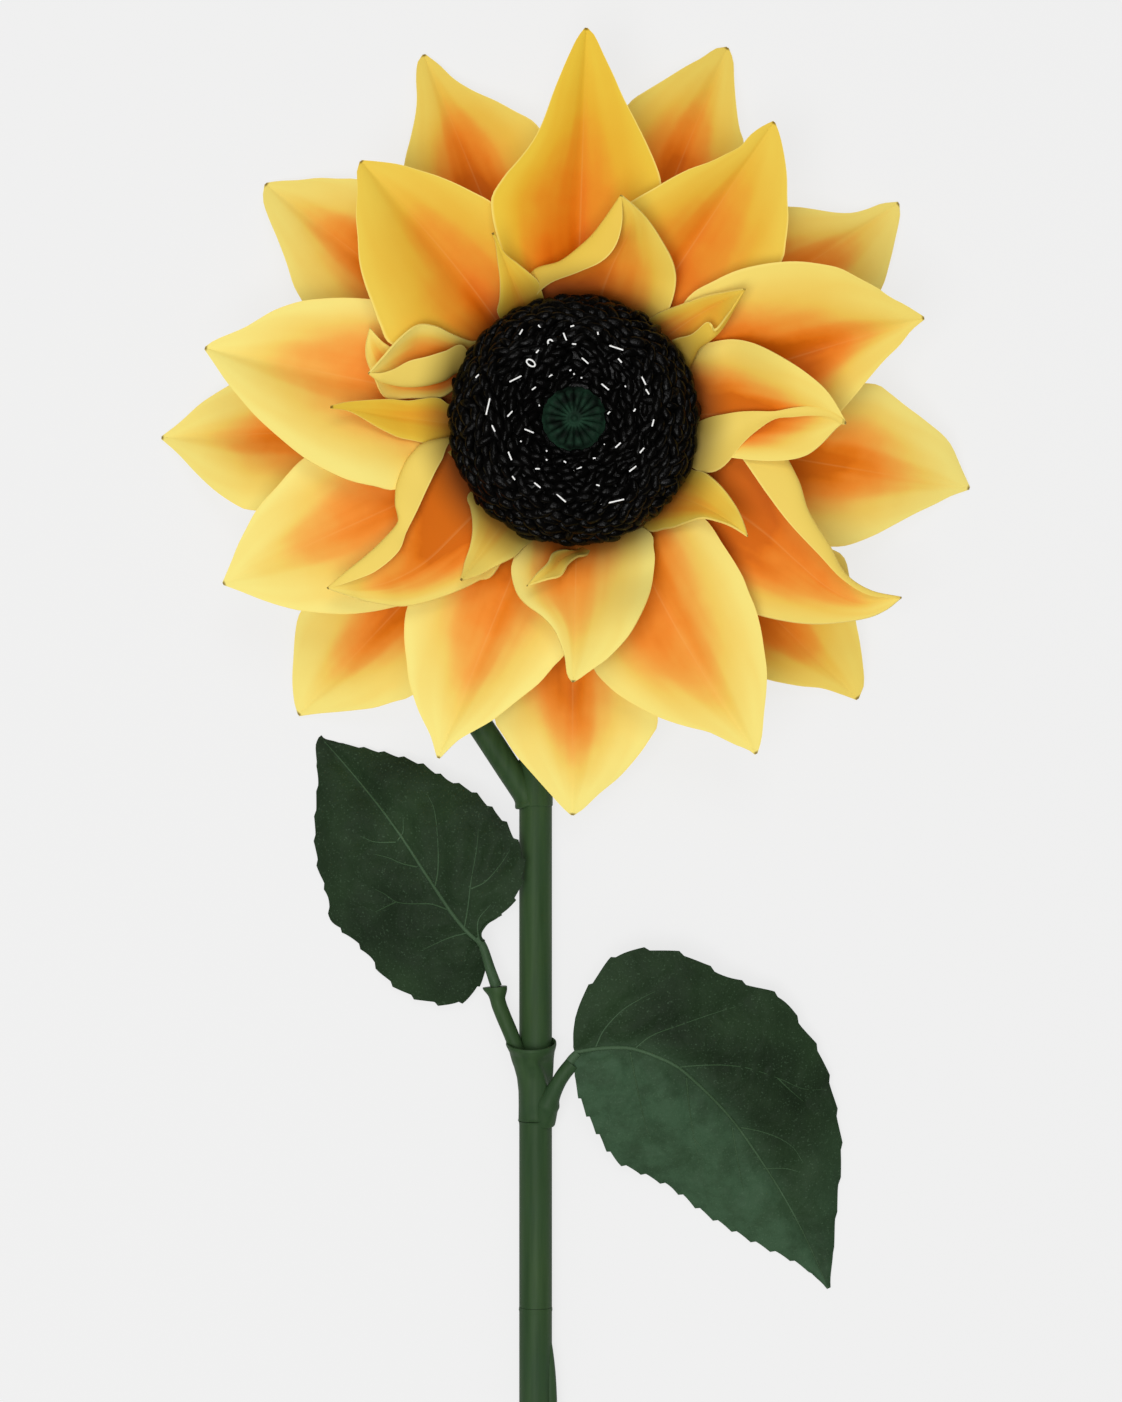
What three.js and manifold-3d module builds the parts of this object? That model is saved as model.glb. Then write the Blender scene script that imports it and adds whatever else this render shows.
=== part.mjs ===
// An artificial cut sunflower, lying on a flat surface with its bloom facing up.
// Millimetres, +Z up, +X to the right of the bloom and +Y away from the stem.
// Every place is worked out from the middle of the bloom, and the whole flower
// is moved at the end, so that the origin is the middle of its box on the surface.

import * as THREE from 'three';
import { mergeVertices } from 'three/addons/utils/BufferGeometryUtils.js';
import Module from 'manifold-3d';

const wasm = await Module();
wasm.setup();

// ---------------------------------------------------------------- driving sizes

const stemRadius = 9.5;
const stemSides = 16;
const stemAxisHeight = stemRadius * Math.cos(Math.PI / stemSides);
const stemOffset = -21.5;
const stemEnd = -665;
const neckTop = 35.7;
const neckEnd = -188;
const cupTop = -349;
const nodeEnd = -394;
const middleEnd = -500;
const neckSteps = 24;
const wireSteps = 30;
const wireSides = 8;
const wireRadius = 2;
const boreRadius = 2.35;
const boreOverrun = 5;
const wireInset = 1.5;
const gap = 0.3;

const foam = 1.3;
const leafSheet = 1.4;

const plateBottom = 38;
const plateTop = 46;
const middleShelf = 55;
const innerShelf = 65;
const coreTop = 72;
const backRootRadius = 41;
const middleRootRadius = 33;
const innerRootRadius = 24;

const headRadius = 70;
const headBottom = coreTop + gap;
const headRim = 103;
const headHollow = 95;
const rosetteRadius = 17.5;

const radians = Math.PI / 180;

// ---------------------------------------------------------------- materials

function finish(colour, roughness, metalness = 0) {
  return new THREE.MeshStandardMaterial({ color: colour, roughness, metalness });
}

const yellowFoam = finish(0xe3a92a, 0.85);
const leafFabric = finish(0x33493a, 0.7);
const stemPlastic = finish(0x3b5134, 0.45);
const seedBlack = finish(0x15120f, 0.35);
const rosetteGreen = finish(0x1f3d2b, 0.5);
const wireSteel = finish(0x9a9c9e, 0.35, 1);

// ---------------------------------------------------------------- small helpers

function clamp01(x) {
  return Math.min(1, Math.max(0, x));
}

function smoothStep(from, to, x) {
  const t = clamp01((x - from) / (to - from));
  return t * t * (3 - 2 * t);
}

function mix(a, b, t) {
  return a + (b - a) * t;
}

function curveThrough(points, tension = 0.5) {
  const places = points.map(([x, y, z]) => new THREE.Vector3(x, y, z));
  return new THREE.CatmullRomCurve3(places, false, 'catmullrom', tension);
}

function indexedGeometry(positions, triangles) {
  const geometry = new THREE.BufferGeometry();
  geometry.setAttribute('position', new THREE.Float32BufferAttribute(positions, 3));
  geometry.setIndex(triangles);
  return geometry;
}

function solidFrom(geometry) {
  const bare = geometry.clone();
  bare.deleteAttribute('normal');
  bare.deleteAttribute('uv');
  const merged = mergeVertices(bare, 1e-4);
  return new wasm.Manifold(new wasm.Mesh({
    numProp: 3,
    vertProperties: new Float32Array(merged.attributes.position.array),
    triVerts: new Uint32Array(merged.index.array),
  }));
}

function geometryFrom(solid) {
  const mesh = solid.getMesh();
  return indexedGeometry(Array.from(mesh.vertProperties), Array.from(mesh.triVerts));
}

// The pieces joined as one body, without any loose crumb that the join leaves.
function joined(geometries) {
  const whole = geometries.map(solidFrom).reduce((sum, piece) => sum.add(piece));
  const bodies = whole.decompose().sort((a, b) => b.volume() - a.volume());
  return geometryFrom(bodies[0]);
}

// A sheet of even thickness over a grid of points: rows run along it, and columns
// across it from right to left, seen from its front. Both faces share one pattern
// of triangles, so that a waved sheet never crosses itself.
function sheetGeometry(grid, thickness) {
  const rows = grid.length;
  const columns = grid[0].length;
  const front = [];
  const back = [];
  for (let i = 0; i < rows; i += 1) {
    for (let j = 0; j < columns; j += 1) {
      const along = new THREE.Vector3().subVectors(
        grid[Math.min(i + 1, rows - 1)][j], grid[Math.max(i - 1, 0)][j]);
      const across = new THREE.Vector3().subVectors(
        grid[i][Math.min(j + 1, columns - 1)], grid[i][Math.max(j - 1, 0)]);
      const normal = along.cross(across).normalize().multiplyScalar(thickness / 2);
      front.push(...grid[i][j].clone().add(normal).toArray());
      back.push(...grid[i][j].clone().sub(normal).toArray());
    }
  }
  const offset = rows * columns;
  const triangles = [];
  const quad = (a, b, c, d) => triangles.push(a, b, c, a, c, d);
  for (let i = 0; i < rows - 1; i += 1) {
    for (let j = 0; j < columns - 1; j += 1) {
      const a = i * columns + j;
      const b = a + columns;
      quad(a, b, b + 1, a + 1);
      triangles.push(offset + a, offset + b + 1, offset + b);
      triangles.push(offset + a, offset + a + 1, offset + b + 1);
    }
  }
  const edge = (a, b) => quad(a, b, offset + b, offset + a);
  for (let j = 0; j < columns - 1; j += 1) {
    edge(j, j + 1);
    edge((rows - 1) * columns + j + 1, (rows - 1) * columns + j);
  }
  for (let i = 0; i < rows - 1; i += 1) {
    edge((i + 1) * columns, i * columns);
    edge(i * columns + columns - 1, (i + 1) * columns + columns - 1);
  }
  return indexedGeometry([...front, ...back], triangles);
}

// ---------------------------------------------------------------- petals

// Each layer's shared values. turn is the way that a petal points, in degrees from
// +X, and reach and tip are its tip's distance from the middle and its height.
// width is half its flat width, widest the share of its length where that is, swell
// how late it widens and point how blunt its tip is. leave and arrive are the
// midrib's slopes in degrees, bow moves its middle sideways and skew turns its root.
// Each side has its own share of the width in wide. It lifts from the midrib by root
// degrees at the root and by vee further out, and fold rolls a share of it back over
// the front between two shares of the length.
const backLayer = {
  rootRadius: backRootRadius, rootHeight: plateTop, width: 45, widest: 0.5, swell: 1, point: 1,
  rootShare: 0.2, leave: -1.5, arrive: -18, lift: [0.05, 0.45],
  left: { root: 11, vee: 18 }, right: { root: 1, vee: 3 },
};
const middleLayer = {
  rootRadius: middleRootRadius, rootHeight: middleShelf, width: 46, widest: 0.52, swell: 1,
  point: 1.05, rootShare: 0.2, leave: 3, arrive: 2, lift: [0.05, 0.45],
  left: { root: 12, vee: 22 }, right: { root: 1, vee: 4 },
};
const innerLayer = {
  rootRadius: innerRootRadius, rootHeight: innerShelf, width: 27, widest: 0.62, swell: 2,
  point: 0.9, rootShare: 0.14, leave: 2, arrive: 40, lift: [0.45, 0.8],
  left: { root: 0, vee: 20 }, right: { root: 8, vee: 12 },
};

const backPetals = [
  { name: 'back_petal_1', turn: 180.9, reach: 233, tip: 0.75, width: 43 },
  { name: 'back_petal_2', turn: 141.2, reach: 224, tip: 0.75 },
  { name: 'back_petal_3', turn: 112.2, reach: 230, tip: 0.75, width: 40, left: { wide: 0.85 } },
  { name: 'back_petal_4', turn: 67.6, reach: 235, tip: 0.75, width: 40, right: { wide: 0.85 } },
  { name: 'back_petal_5', turn: 34.7, reach: 225, tip: 0.75, width: 42 },
  { name: 'back_petal_6', turn: 351.7, reach: 228, tip: 0.75 },
  { name: 'back_petal_7', turn: 317.3, reach: 224, tip: 0.75 },
  { name: 'back_petal_8', turn: 269.8, reach: 218, tip: 26, arrive: -8, width: 49, point: 1.15 },
  { name: 'back_petal_9', turn: 225.7, reach: 226, tip: 0.75 },
];

const middlePetals = [
  { name: 'middle_petal_1', turn: 88.4, reach: 219, tip: 66, width: 45, widest: 0.45, point: 0.9 },
  { name: 'middle_petal_2', turn: 55.8, reach: 199, tip: 70,
    left: { wide: 1.1, fold: { share: 0.32, angle: 150, from: 0.3, to: 1 } } },
  { name: 'middle_petal_3', turn: 16.8, reach: 202, tip: 70, point: 1.2 },
  { name: 'middle_petal_4', turn: 331.7, reach: 206, tip: 72, bow: -13, right: { wide: 0.85 },
    left: { wide: 1.35, vee: 18, fold: { share: 0.5, angle: 165, from: 0.35, to: 1.05 } } },
  { name: 'middle_petal_5', turn: 298.9, reach: 209, tip: 66, bow: -5 },
  { name: 'middle_petal_6', turn: 247.9, reach: 200, tip: 66 },
  { name: 'middle_petal_7', turn: 204.9, reach: 215, tip: 66 },
  { name: 'middle_petal_8', turn: 168.6, reach: 208, tip: 70 },
  { name: 'middle_petal_9', turn: 129.7, reach: 186, tip: 74, bow: -4 },
];

const innerPetals = [
  { name: 'inner_petal_1', turn: 78.9, skew: 1, reach: 120, tip: 104, width: 40, point: 0.8,
    right: { wide: 0.88 },
    left: { wide: 1.25, vee: 10, fold: { share: 0.5, angle: 165, from: 0.62, to: 1 } } },
  { name: 'inner_petal_2', turn: 36.6, reach: 116, tip: 98, width: 26, right: { wide: 0.65 },
    left: { wide: 0.92, fold: { share: 0.5, angle: 150, from: 0.62, to: 1 } } },
  { name: 'inner_petal_3', turn: 359, skew: 5, reach: 148, tip: 98, width: 42, arrive: 16, bow: 4,
    right: { fold: { share: 0.6, angle: 160, from: 0.5, to: 1 } } },
  { name: 'inner_petal_4', turn: 325.8, skew: -6, reach: 114, tip: 96, width: 27,
    left: { wide: 0.65 }, widest: 0.5, point: 0.8 },
  { name: 'inner_petal_5', turn: 269.8, skew: 6, reach: 143, tip: 98, width: 45, arrive: 14,
    widest: 0.52, swell: 4, right: { root: 0, wide: 0.75 } },
  { name: 'inner_petal_6', turn: 235.3, reach: 108, tip: 94, width: 22, swell: 3, leave: 6,
    left: { wide: 0.85 } },
  { name: 'inner_petal_7', turn: 214.5, skew: 2, reach: 164, tip: 92, width: 42, arrive: 12, bow: 9,
    swell: 3, rootShare: 0.08, leave: 0, left: { root: 0, vee: 6 },
    right: { root: 0, wide: 0.9, vee: 16, fold: { share: 0.6, angle: 150, from: 0.4, to: 1 } } },
  { name: 'inner_petal_8', turn: 177.1, skew: 16, reach: 132, tip: 96, width: 26, widest: 0.5,
    left: { root: 8 }, right: { wide: 0.4 }, point: 0.8 },
  { name: 'inner_petal_9', turn: 168.9, skew: -24, reach: 114, tip: 102, width: 26, bow: -12,
    left: { vee: 12, fold: { share: 0.5, angle: 155, from: 0.65, to: 1 } } },
  { name: 'inner_petal_10', turn: 114.4, skew: 1, reach: 107, tip: 100, width: 13 },
  { name: 'inner_petal_11', turn: 254.3, reach: 95, tip: 100, width: 9, leave: 12, arrive: 52 },
];

// The midrib, from the root standing on its shelf to the tip, as a cubic curve.
function midribPoint(petal, u) {
  const rootTurn = (petal.turn + (petal.skew ?? 0)) * radians;
  const root = new THREE.Vector3(
    petal.rootRadius * Math.cos(rootTurn), petal.rootRadius * Math.sin(rootTurn),
    petal.rootHeight + gap + foam / 2);
  const turn = petal.turn * radians;
  const tip = new THREE.Vector3(
    petal.reach * Math.cos(turn), petal.reach * Math.sin(turn), petal.tip);
  const way = new THREE.Vector3(tip.x - root.x, tip.y - root.y, 0);
  const third = way.length() / 3;
  way.normalize();
  const leave = petal.leave * radians;
  const arrive = petal.arrive * radians;
  const up = new THREE.Vector3(0, 0, 1);
  const first = root.clone().addScaledVector(way, third).addScaledVector(up, third * Math.tan(leave));
  const second = tip.clone().addScaledVector(way, -third).addScaledVector(up, -third * Math.tan(arrive));
  const point = new THREE.CubicBezierCurve3(root, first, second, tip).getPoint(u);
  const side = new THREE.Vector3(-way.y, way.x, 0);
  return point.addScaledVector(side, (petal.bow ?? 0) * Math.sin(Math.PI * u));
}

function petalHalfWidth(petal, u) {
  const tipHalfWidth = 0.8;
  if (u < petal.widest) {
    const rise = Math.sin(Math.PI / 2 * u / petal.widest) ** petal.swell;
    return petal.width * mix(petal.rootShare, 1, rise);
  }
  const t = (u - petal.widest) / (1 - petal.widest);
  return Math.max(tipHalfWidth, petal.width * Math.cos(Math.PI / 2 * t ** petal.point));
}

// How far out and how high a point on one half of a petal is, s of its flat width out.
function halfSection(petal, side, u, s) {
  const steps = 24;
  const flat = petalHalfWidth(petal, u) * (side.wide ?? 1);
  const vee = mix(side.root, side.vee, smoothStep(...petal.lift, u));
  const fold = side.fold ?? { share: 0, angle: 0, from: 0, to: 1 };
  const soft = 0.14;
  const window = smoothStep(fold.from - soft, fold.from + soft, u)
    * (1 - smoothStep(fold.to - soft, fold.to + soft, u));
  const crest = flat * (1 - fold.share * window);
  const rollLength = 11;
  const length = flat * s;
  let out = 0;
  let rise = 0;
  for (let i = 0; i < steps; i += 1) {
    const here = length * (i + 0.5) / steps;
    const angle = (vee + fold.angle * window * clamp01((here - crest) / rollLength)) * radians;
    out += Math.cos(angle) * length / steps;
    rise += Math.sin(angle) * length / steps;
  }
  return [out, rise];
}

function petalPoint(petal, u, v) {
  const centre = midribPoint(petal, u);
  const step = 0.01;
  const ahead = midribPoint(petal, Math.min(1, u + step));
  const behind = midribPoint(petal, Math.max(0, u - step));
  const along = ahead.sub(behind).normalize();
  const across = new THREE.Vector3(-along.y, along.x, 0).normalize();
  const normal = new THREE.Vector3().crossVectors(along, across);
  const [out, rise] = halfSection(petal, v > 0 ? petal.left : petal.right, u, Math.abs(v));
  return centre.addScaledVector(across, Math.sign(v) * out).addScaledVector(normal, rise);
}

const plainRows = [0, 0.15, 0.32, 0.5, 0.66, 0.81, 0.93, 1];
const foldedRows = [0, 0.15, 0.3, 0.42, 0.53, 0.64, 0.74, 0.84, 0.93, 1];
const plainColumns = [0, 0.35, 0.7, 1];
const foldedColumns = [0, 0.35, 0.65, 0.77, 0.89, 1];

function petalGeometry(petal) {
  const columnsOf = (side) => (side.fold ? foldedColumns : plainColumns);
  const columns = [
    ...columnsOf(petal.right).slice(1).reverse().map((s) => -s),
    ...columnsOf(petal.left),
  ];
  const rows = petal.left.fold || petal.right.fold ? foldedRows : plainRows;
  const grid = rows.map((u) => columns.map((v) => petalPoint(petal, u, v)));
  return sheetGeometry(grid, foam);
}

function petalLayer(layer, petals) {
  const group = new THREE.Group();
  for (const own of petals) {
    const petal = {
      ...layer, ...own,
      left: { ...layer.left, ...own.left },
      right: { ...layer.right, ...own.right },
    };
    const mesh = new THREE.Mesh(petalGeometry(petal), yellowFoam);
    mesh.name = petal.name;
    group.add(mesh);
  }
  return group;
}

// ---------------------------------------------------------------- round bodies

// A closed body round the Z axis. Each ring gives its radius and height at a turn,
// from the middle of the top, out over the edge and back under to the middle.
function roundBody(topHeight, rings, bottomHeight, sides) {
  const positions = [0, 0, topHeight];
  for (const ring of rings) {
    for (let i = 0; i < sides; i += 1) {
      const turn = 2 * Math.PI * i / sides;
      const [r, z] = ring(turn);
      positions.push(r * Math.cos(turn), r * Math.sin(turn), z);
    }
  }
  const bottom = positions.length / 3;
  positions.push(0, 0, bottomHeight);
  const at = (ring, i) => 1 + ring * sides + (i % sides);
  const triangles = [];
  for (let i = 0; i < sides; i += 1) {
    triangles.push(0, at(0, i), at(0, i + 1));
    for (let k = 0; k < rings.length - 1; k += 1) {
      triangles.push(at(k, i), at(k + 1, i), at(k + 1, i + 1));
      triangles.push(at(k, i), at(k + 1, i + 1), at(k, i + 1));
    }
    triangles.push(at(rings.length - 1, i), bottom, at(rings.length - 1, i + 1));
  }
  return indexedGeometry(positions, triangles);
}

// The black cushion: a flat hollow for the rosette, a raised rim and a bowed underside,
// with rows of seed scales raised from its top, each row turned half a scale on.
function seedHead() {
  const scales = 24;
  const scaleHeight = 1.6;
  const profile = curveThrough([
    [19, 0, headHollow], [24, 0, 98.5], [33, 0, headRim - 0.8], [42, 0, headRim], [52, 0, 100.5],
    [61, 0, 95], [67.5, 0, 88], [headRadius - scaleHeight, 0, 81]]);
  const rows = 13;
  const rings = [];
  for (let k = 0; k <= rows; k += 1) {
    const place = profile.getPoint(k / rows);
    const way = profile.getTangent(k / rows);
    const height = k > 0 ? scaleHeight : 0;
    rings.push((turn) => {
      const raised = height * Math.max(-0.4, Math.cos(scales * turn + Math.PI * (k % 2)));
      return [place.x - way.z * raised, place.z + way.x * raised];
    });
  }
  rings.push(() => [63, 78]);
  rings.push(() => [44, 75]);
  rings.push(() => [24, headBottom]);
  const mesh = new THREE.Mesh(roundBody(headHollow, rings, headBottom, 4 * scales), seedBlack);
  mesh.name = 'seed_head';
  return mesh;
}

// The pleated green rosette in the hollow, with a small button at its middle.
function rosette() {
  const pleats = 18;
  const base = headHollow + gap;
  const button = 4.5;
  const pleat = (turn) => Math.cos(pleats * turn);
  const rings = [
    () => [button * 0.7, base + 4.6],
    () => [button, base + 3],
    (turn) => [rosetteRadius * 0.55, base + 4.2 + 0.5 * pleat(turn)],
    (turn) => [rosetteRadius * 0.85, base + 3.6 + 0.8 * pleat(turn)],
    (turn) => [rosetteRadius + 0.5 * pleat(turn) - 0.5, base],
  ];
  const mesh = new THREE.Mesh(roundBody(base + 4.8, rings, base, 4 * pleats), rosetteGreen);
  mesh.name = 'rosette';
  return mesh;
}

// The stepped green core that carries the seed head and each layer of petals.
function receptacle() {
  const steps = [
    [0, plateBottom], [44, plateBottom], [48, plateBottom + 3], [48, plateTop - 1.5],
    [45, plateTop], [38, plateTop], [38, middleShelf], [31, middleShelf], [31, innerShelf],
    [22, innerShelf], [22, coreTop], [0, coreTop]];
  const outline = steps.map(([r, z]) => new THREE.Vector2(r, z));
  const geometry = new THREE.LatheGeometry(outline, 24);
  geometry.rotateX(Math.PI / 2);
  const mesh = new THREE.Mesh(geometry, stemPlastic);
  mesh.name = 'receptacle';
  return mesh;
}

// The calyx: a thin green plate whose rim runs out into pointed sepals.
function calyx() {
  const sepals = 12;
  const thickness = 1.6;
  const top = plateBottom - gap;
  const reach = (turn) => mix(50, 88, Math.abs(Math.cos(sepals / 2 * turn)) ** 1.6);
  const ring = (share, lift) => (turn) => {
    const r = mix(40, reach(turn), share);
    return [r, top - 4.5 * share * share - lift];
  };
  const rings = [ring(0, 0), ring(0.5, 0), ring(1, 0.3),
    ring(1, thickness), ring(0.5, thickness), ring(0, thickness)];
  const mesh = new THREE.Mesh(roundBody(top, rings, top - thickness, 4 * sepals), stemPlastic);
  mesh.name = 'calyx';
  return mesh;
}

// ---------------------------------------------------------------- stem

// A closed tube along a curve, with its radius given from 0 at its start to 1 at its end.
// Its facets are kept level with the surface wherever it runs along it.
function taperedTube(curve, radiusAt, steps, sides) {
  const centres = curve.getPoints(steps);
  const positions = [];
  const at = (k, i) => k * sides + (i % sides);
  const up = new THREE.Vector3(0, 0, 1);
  let normal = new THREE.Vector3(0, -0.05, 0);
  for (let k = 0; k <= steps; k += 1) {
    const way = curve.getTangent(k / steps);
    normal = normal.clone().add(up);
    normal.addScaledVector(way, -normal.dot(way)).normalize();
    const side = new THREE.Vector3().crossVectors(way, normal);
    const radius = radiusAt(k / steps);
    for (let i = 0; i < sides; i += 1) {
      const turn = 2 * Math.PI * (i + 0.5) / sides;
      const point = centres[k].clone()
        .addScaledVector(normal, radius * Math.cos(turn))
        .addScaledVector(side, radius * Math.sin(turn));
      positions.push(...point.toArray());
    }
  }
  const first = positions.length / 3;
  positions.push(...centres[0].toArray(), ...centres[steps].toArray());
  const triangles = [];
  for (let i = 0; i < sides; i += 1) {
    triangles.push(first, at(0, i + 1), at(0, i));
    triangles.push(first + 1, at(steps, i), at(steps, i + 1));
    for (let k = 0; k < steps; k += 1) {
      triangles.push(at(k, i), at(k, i + 1), at(k + 1, i + 1));
      triangles.push(at(k, i), at(k + 1, i + 1), at(k + 1, i));
    }
  }
  return indexedGeometry(positions, triangles);
}

// The middle line of the stem: down from the calyx, round a bend to the surface,
// across to one side behind the petals and then straight to the cut end.
function stemLine(from, to) {
  const bend = 20;
  const bendLow = stemAxisHeight + 0.2;
  const bendTop = bendLow + bend;
  const sideways = (y) => stemOffset * smoothStep(-bend, -150, y);
  const points = [[0, 0, neckTop], [0, 0, (neckTop + bendTop) / 2]];
  for (const turn of [0, 0.25, 0.5, 0.75, 1]) {
    const angle = turn * Math.PI / 2;
    points.push([0, bend * (Math.cos(angle) - 1), bendTop - bend * Math.sin(angle)]);
  }
  points.push([0, -24, bendLow]);
  for (const y of [-50, -85, -120, -150, from]) {
    points.push([sideways(y), y, stemAxisHeight]);
  }
  for (const y of to) {
    points.push([stemOffset, y, stemAxisHeight]);
  }
  return curveThrough(points);
}

function stemRun(from, to) {
  return curveThrough([[stemOffset, from, stemAxisHeight], [stemOffset, (from + to) / 2, stemAxisHeight],
    [stemOffset, to, stemAxisHeight]]);
}

function bored(geometry, line, steps) {
  const bore = taperedTube(line, () => boreRadius, steps, wireSides);
  return geometryFrom(solidFrom(geometry).subtract(solidFrom(bore)));
}

function stemMesh(name, geometry) {
  const mesh = new THREE.Mesh(geometry, stemPlastic);
  mesh.name = name;
  return mesh;
}

function stemNeck() {
  const line = stemLine(neckEnd, []);
  const outside = taperedTube(line, () => stemRadius, neckSteps, stemSides);
  return stemMesh('stem_neck', bored(outside, stemLine(neckEnd - boreOverrun, []), neckSteps));
}

// The upper length, with the side shoot that leaves it and ends behind the petals.
function stemUpper() {
  const run = taperedTube(stemRun(neckEnd - gap, cupTop + gap), () => stemRadius, 2, stemSides);
  const shoot = curveThrough([[stemOffset - 0.5, -236, stemAxisHeight], [-28, -217, 10],
    [-36, -200, 12], [-47, -178, 16], [-58, -158, 20]]);
  const branch = taperedTube(shoot, (t) => mix(8.6, 7.8, t), 8, 12);
  const bore = stemRun(neckEnd + boreOverrun, cupTop - boreOverrun);
  return stemMesh('stem_upper', bored(joined([run, branch]), bore, 1));
}

// The moulded piece that both leaves grow from: a cup that narrows down onto the stem,
// a stalk with a flared collar from its mouth and a second stalk from its lower end.
function leafNode() {
  const rim = 14;
  const lean = -2.6;
  const cup = ringRun([
    [cupTop, rim, lean], [cupTop - 2.5, rim, lean], [cupTop - 9, 12.3, lean * 0.7],
    [cupTop - 19, 10.3, lean * 0.2], [cupTop - 28, 9.8], [nodeEnd, 9.8]]);
  const left = curveThrough([[-35, -354, 14], [-37.5, -343, 14.5], [-41.5, -333, 15],
    [-44.8, -324, 15.2], [-45.8, -317, 15.4]]);
  const flare = (t) => mix(4.2, 3.8, t) + 1.3 * smoothStep(0.8, 1, t);
  const right = curveThrough([[-15.5, -388, 11], [-13.2, -381, 17.5], [-9.5, -373, 21],
    [-5.6, -366, 22.4], [-0.8, -360, 23]]);
  const arms = [taperedTube(left, flare, 8, 9), taperedTube(right, (t) => mix(4.8, 3.4, t), 8, 9)];
  const bore = stemRun(cupTop + boreOverrun, nodeEnd - boreOverrun);
  return stemMesh('leaf_node', bored(joined([cup, ...arms]), bore, 1));
}

// A run of the stem from rings, each with its place along it, its radius and how far it
// leans to one side. A ring too wide for the stem's own height is lifted off the surface.
function ringRun(rings) {
  const sides = stemSides;
  const positions = [];
  for (const [y, radius, lean = 0] of rings) {
    for (let i = 0; i < sides; i += 1) {
      const turn = 2 * Math.PI * (i + 0.5) / sides;
      const middle = Math.max(stemAxisHeight, radius * Math.cos(Math.PI / sides));
      positions.push(stemOffset + lean + radius * Math.sin(turn), y, middle + radius * Math.cos(turn));
    }
  }
  const first = positions.length / 3;
  const last = rings.length - 1;
  positions.push(stemOffset, rings[0][0], stemAxisHeight);
  positions.push(stemOffset, rings[last][0], stemAxisHeight);
  const at = (k, i) => k * sides + (i % sides);
  const triangles = [];
  for (let i = 0; i < sides; i += 1) {
    triangles.push(first, at(0, i), at(0, i + 1));
    triangles.push(first + 1, at(last, i + 1), at(last, i));
    for (let k = 0; k < last; k += 1) {
      triangles.push(at(k, i), at(k + 1, i + 1), at(k, i + 1));
      triangles.push(at(k, i), at(k + 1, i), at(k + 1, i + 1));
    }
  }
  return indexedGeometry(positions, triangles);
}

function stemMiddle() {
  const top = nodeEnd - gap;
  const run = ringRun([[top, stemRadius + 0.1], [top - 3, stemRadius], [middleEnd, stemRadius]]);
  return stemMesh('stem_middle', bored(run, stemRun(top + boreOverrun, middleEnd - boreOverrun), 1));
}

// The lower length to the plain cut end, with a raised strip along its right side.
function stemLower() {
  const top = middleEnd - gap;
  const run = ringRun([[top, stemRadius + 0.3], [top - 4, stemRadius], [stemEnd, stemRadius]]);
  const strip = curveThrough([[stemOffset + 6, -508, 10], [stemOffset + 8, -540, 10],
    [stemOffset + 8.6, -580, 10], [stemOffset + 8, -620, 10]]);
  const rib = taperedTube(strip, (t) => 2 + 2 * Math.sin(Math.PI * t), 6, 8);
  const bore = stemRun(top + boreOverrun, stemEnd - boreOverrun);
  return stemMesh('stem_lower', bored(joined([run, rib]), bore, 1));
}

function stemWire() {
  const line = stemLine(neckEnd, [cupTop, middleEnd, stemEnd - wireInset]);
  const mesh = new THREE.Mesh(taperedTube(line, () => wireRadius, wireSteps, wireSides), wireSteel);
  mesh.name = 'stem_wire';
  return mesh;
}

// ---------------------------------------------------------------- leaves

// A leaf is a sheet between its midrib and its two outlines, with teeth cut along them.
// Spokes run from the midrib to the outline, so that its lobes reach back past its base.
const leftLeaf = {
  name: 'left_leaf',
  petiole: [[-46, -316, 15.4], [-48.5, -308, 16], [-51.5, -294, 17.5]],
  midrib: [[-51.5, -294, 18], [-72, -271, 21], [-92, -248, 20], [-116, -216, 13], [-145, -175, 1.2]],
  left: [[-54, -304, 12.5], [-53.5, -312, 9], [-59, -320, 7.5], [-69, -325, 5], [-92, -324, 2],
    [-124, -295, 1.2], [-142, -268, 1.2], [-147, -236, 1.2], [-147, -205, 1.2]],
  right: [[-45, -281, 21], [-37, -273, 23.5], [-30, -260, 26], [-27.5, -247, 26.5], [-32, -232, 25.5],
    [-51, -211, 21], [-82, -192, 13], [-120, -180, 5]],
  arch: 3,
};
const rightLeaf = {
  name: 'right_leaf',
  petiole: [[-0.2, -359.3, 23.1], [2.6, -355.2, 24.2], [8.5, -351.5, 25.5]],
  midrib: [[7.5, -351.5, 26], [31, -352, 28], [64, -367, 27], [100, -405, 20], [119, -436, 12],
    [146, -491, 1.2]],
  left: [[1.5, -338, 27], [5, -321, 28], [13, -308, 28], [25, -299, 27.5], [45, -295.5, 26],
    [68, -302, 23], [92, -311, 19], [117, -324, 14], [130, -340, 10], [145, -374, 5], [151, -407, 2.5],
    [147, -458, 1.5]],
  right: [[6, -365, 24.5], [6, -381, 20], [13, -398, 13], [25, -416, 7], [57, -432, 2], [91, -457, 1.2],
    [127, -476, 1.2]],
  arch: 3,
};

const leafTeeth = 11;
const toothPoint = 1.6;
const toothNotch = 1;
const leafTipHalfWidth = 1.1;
const leafBaseHalfWidth = 3;

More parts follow.
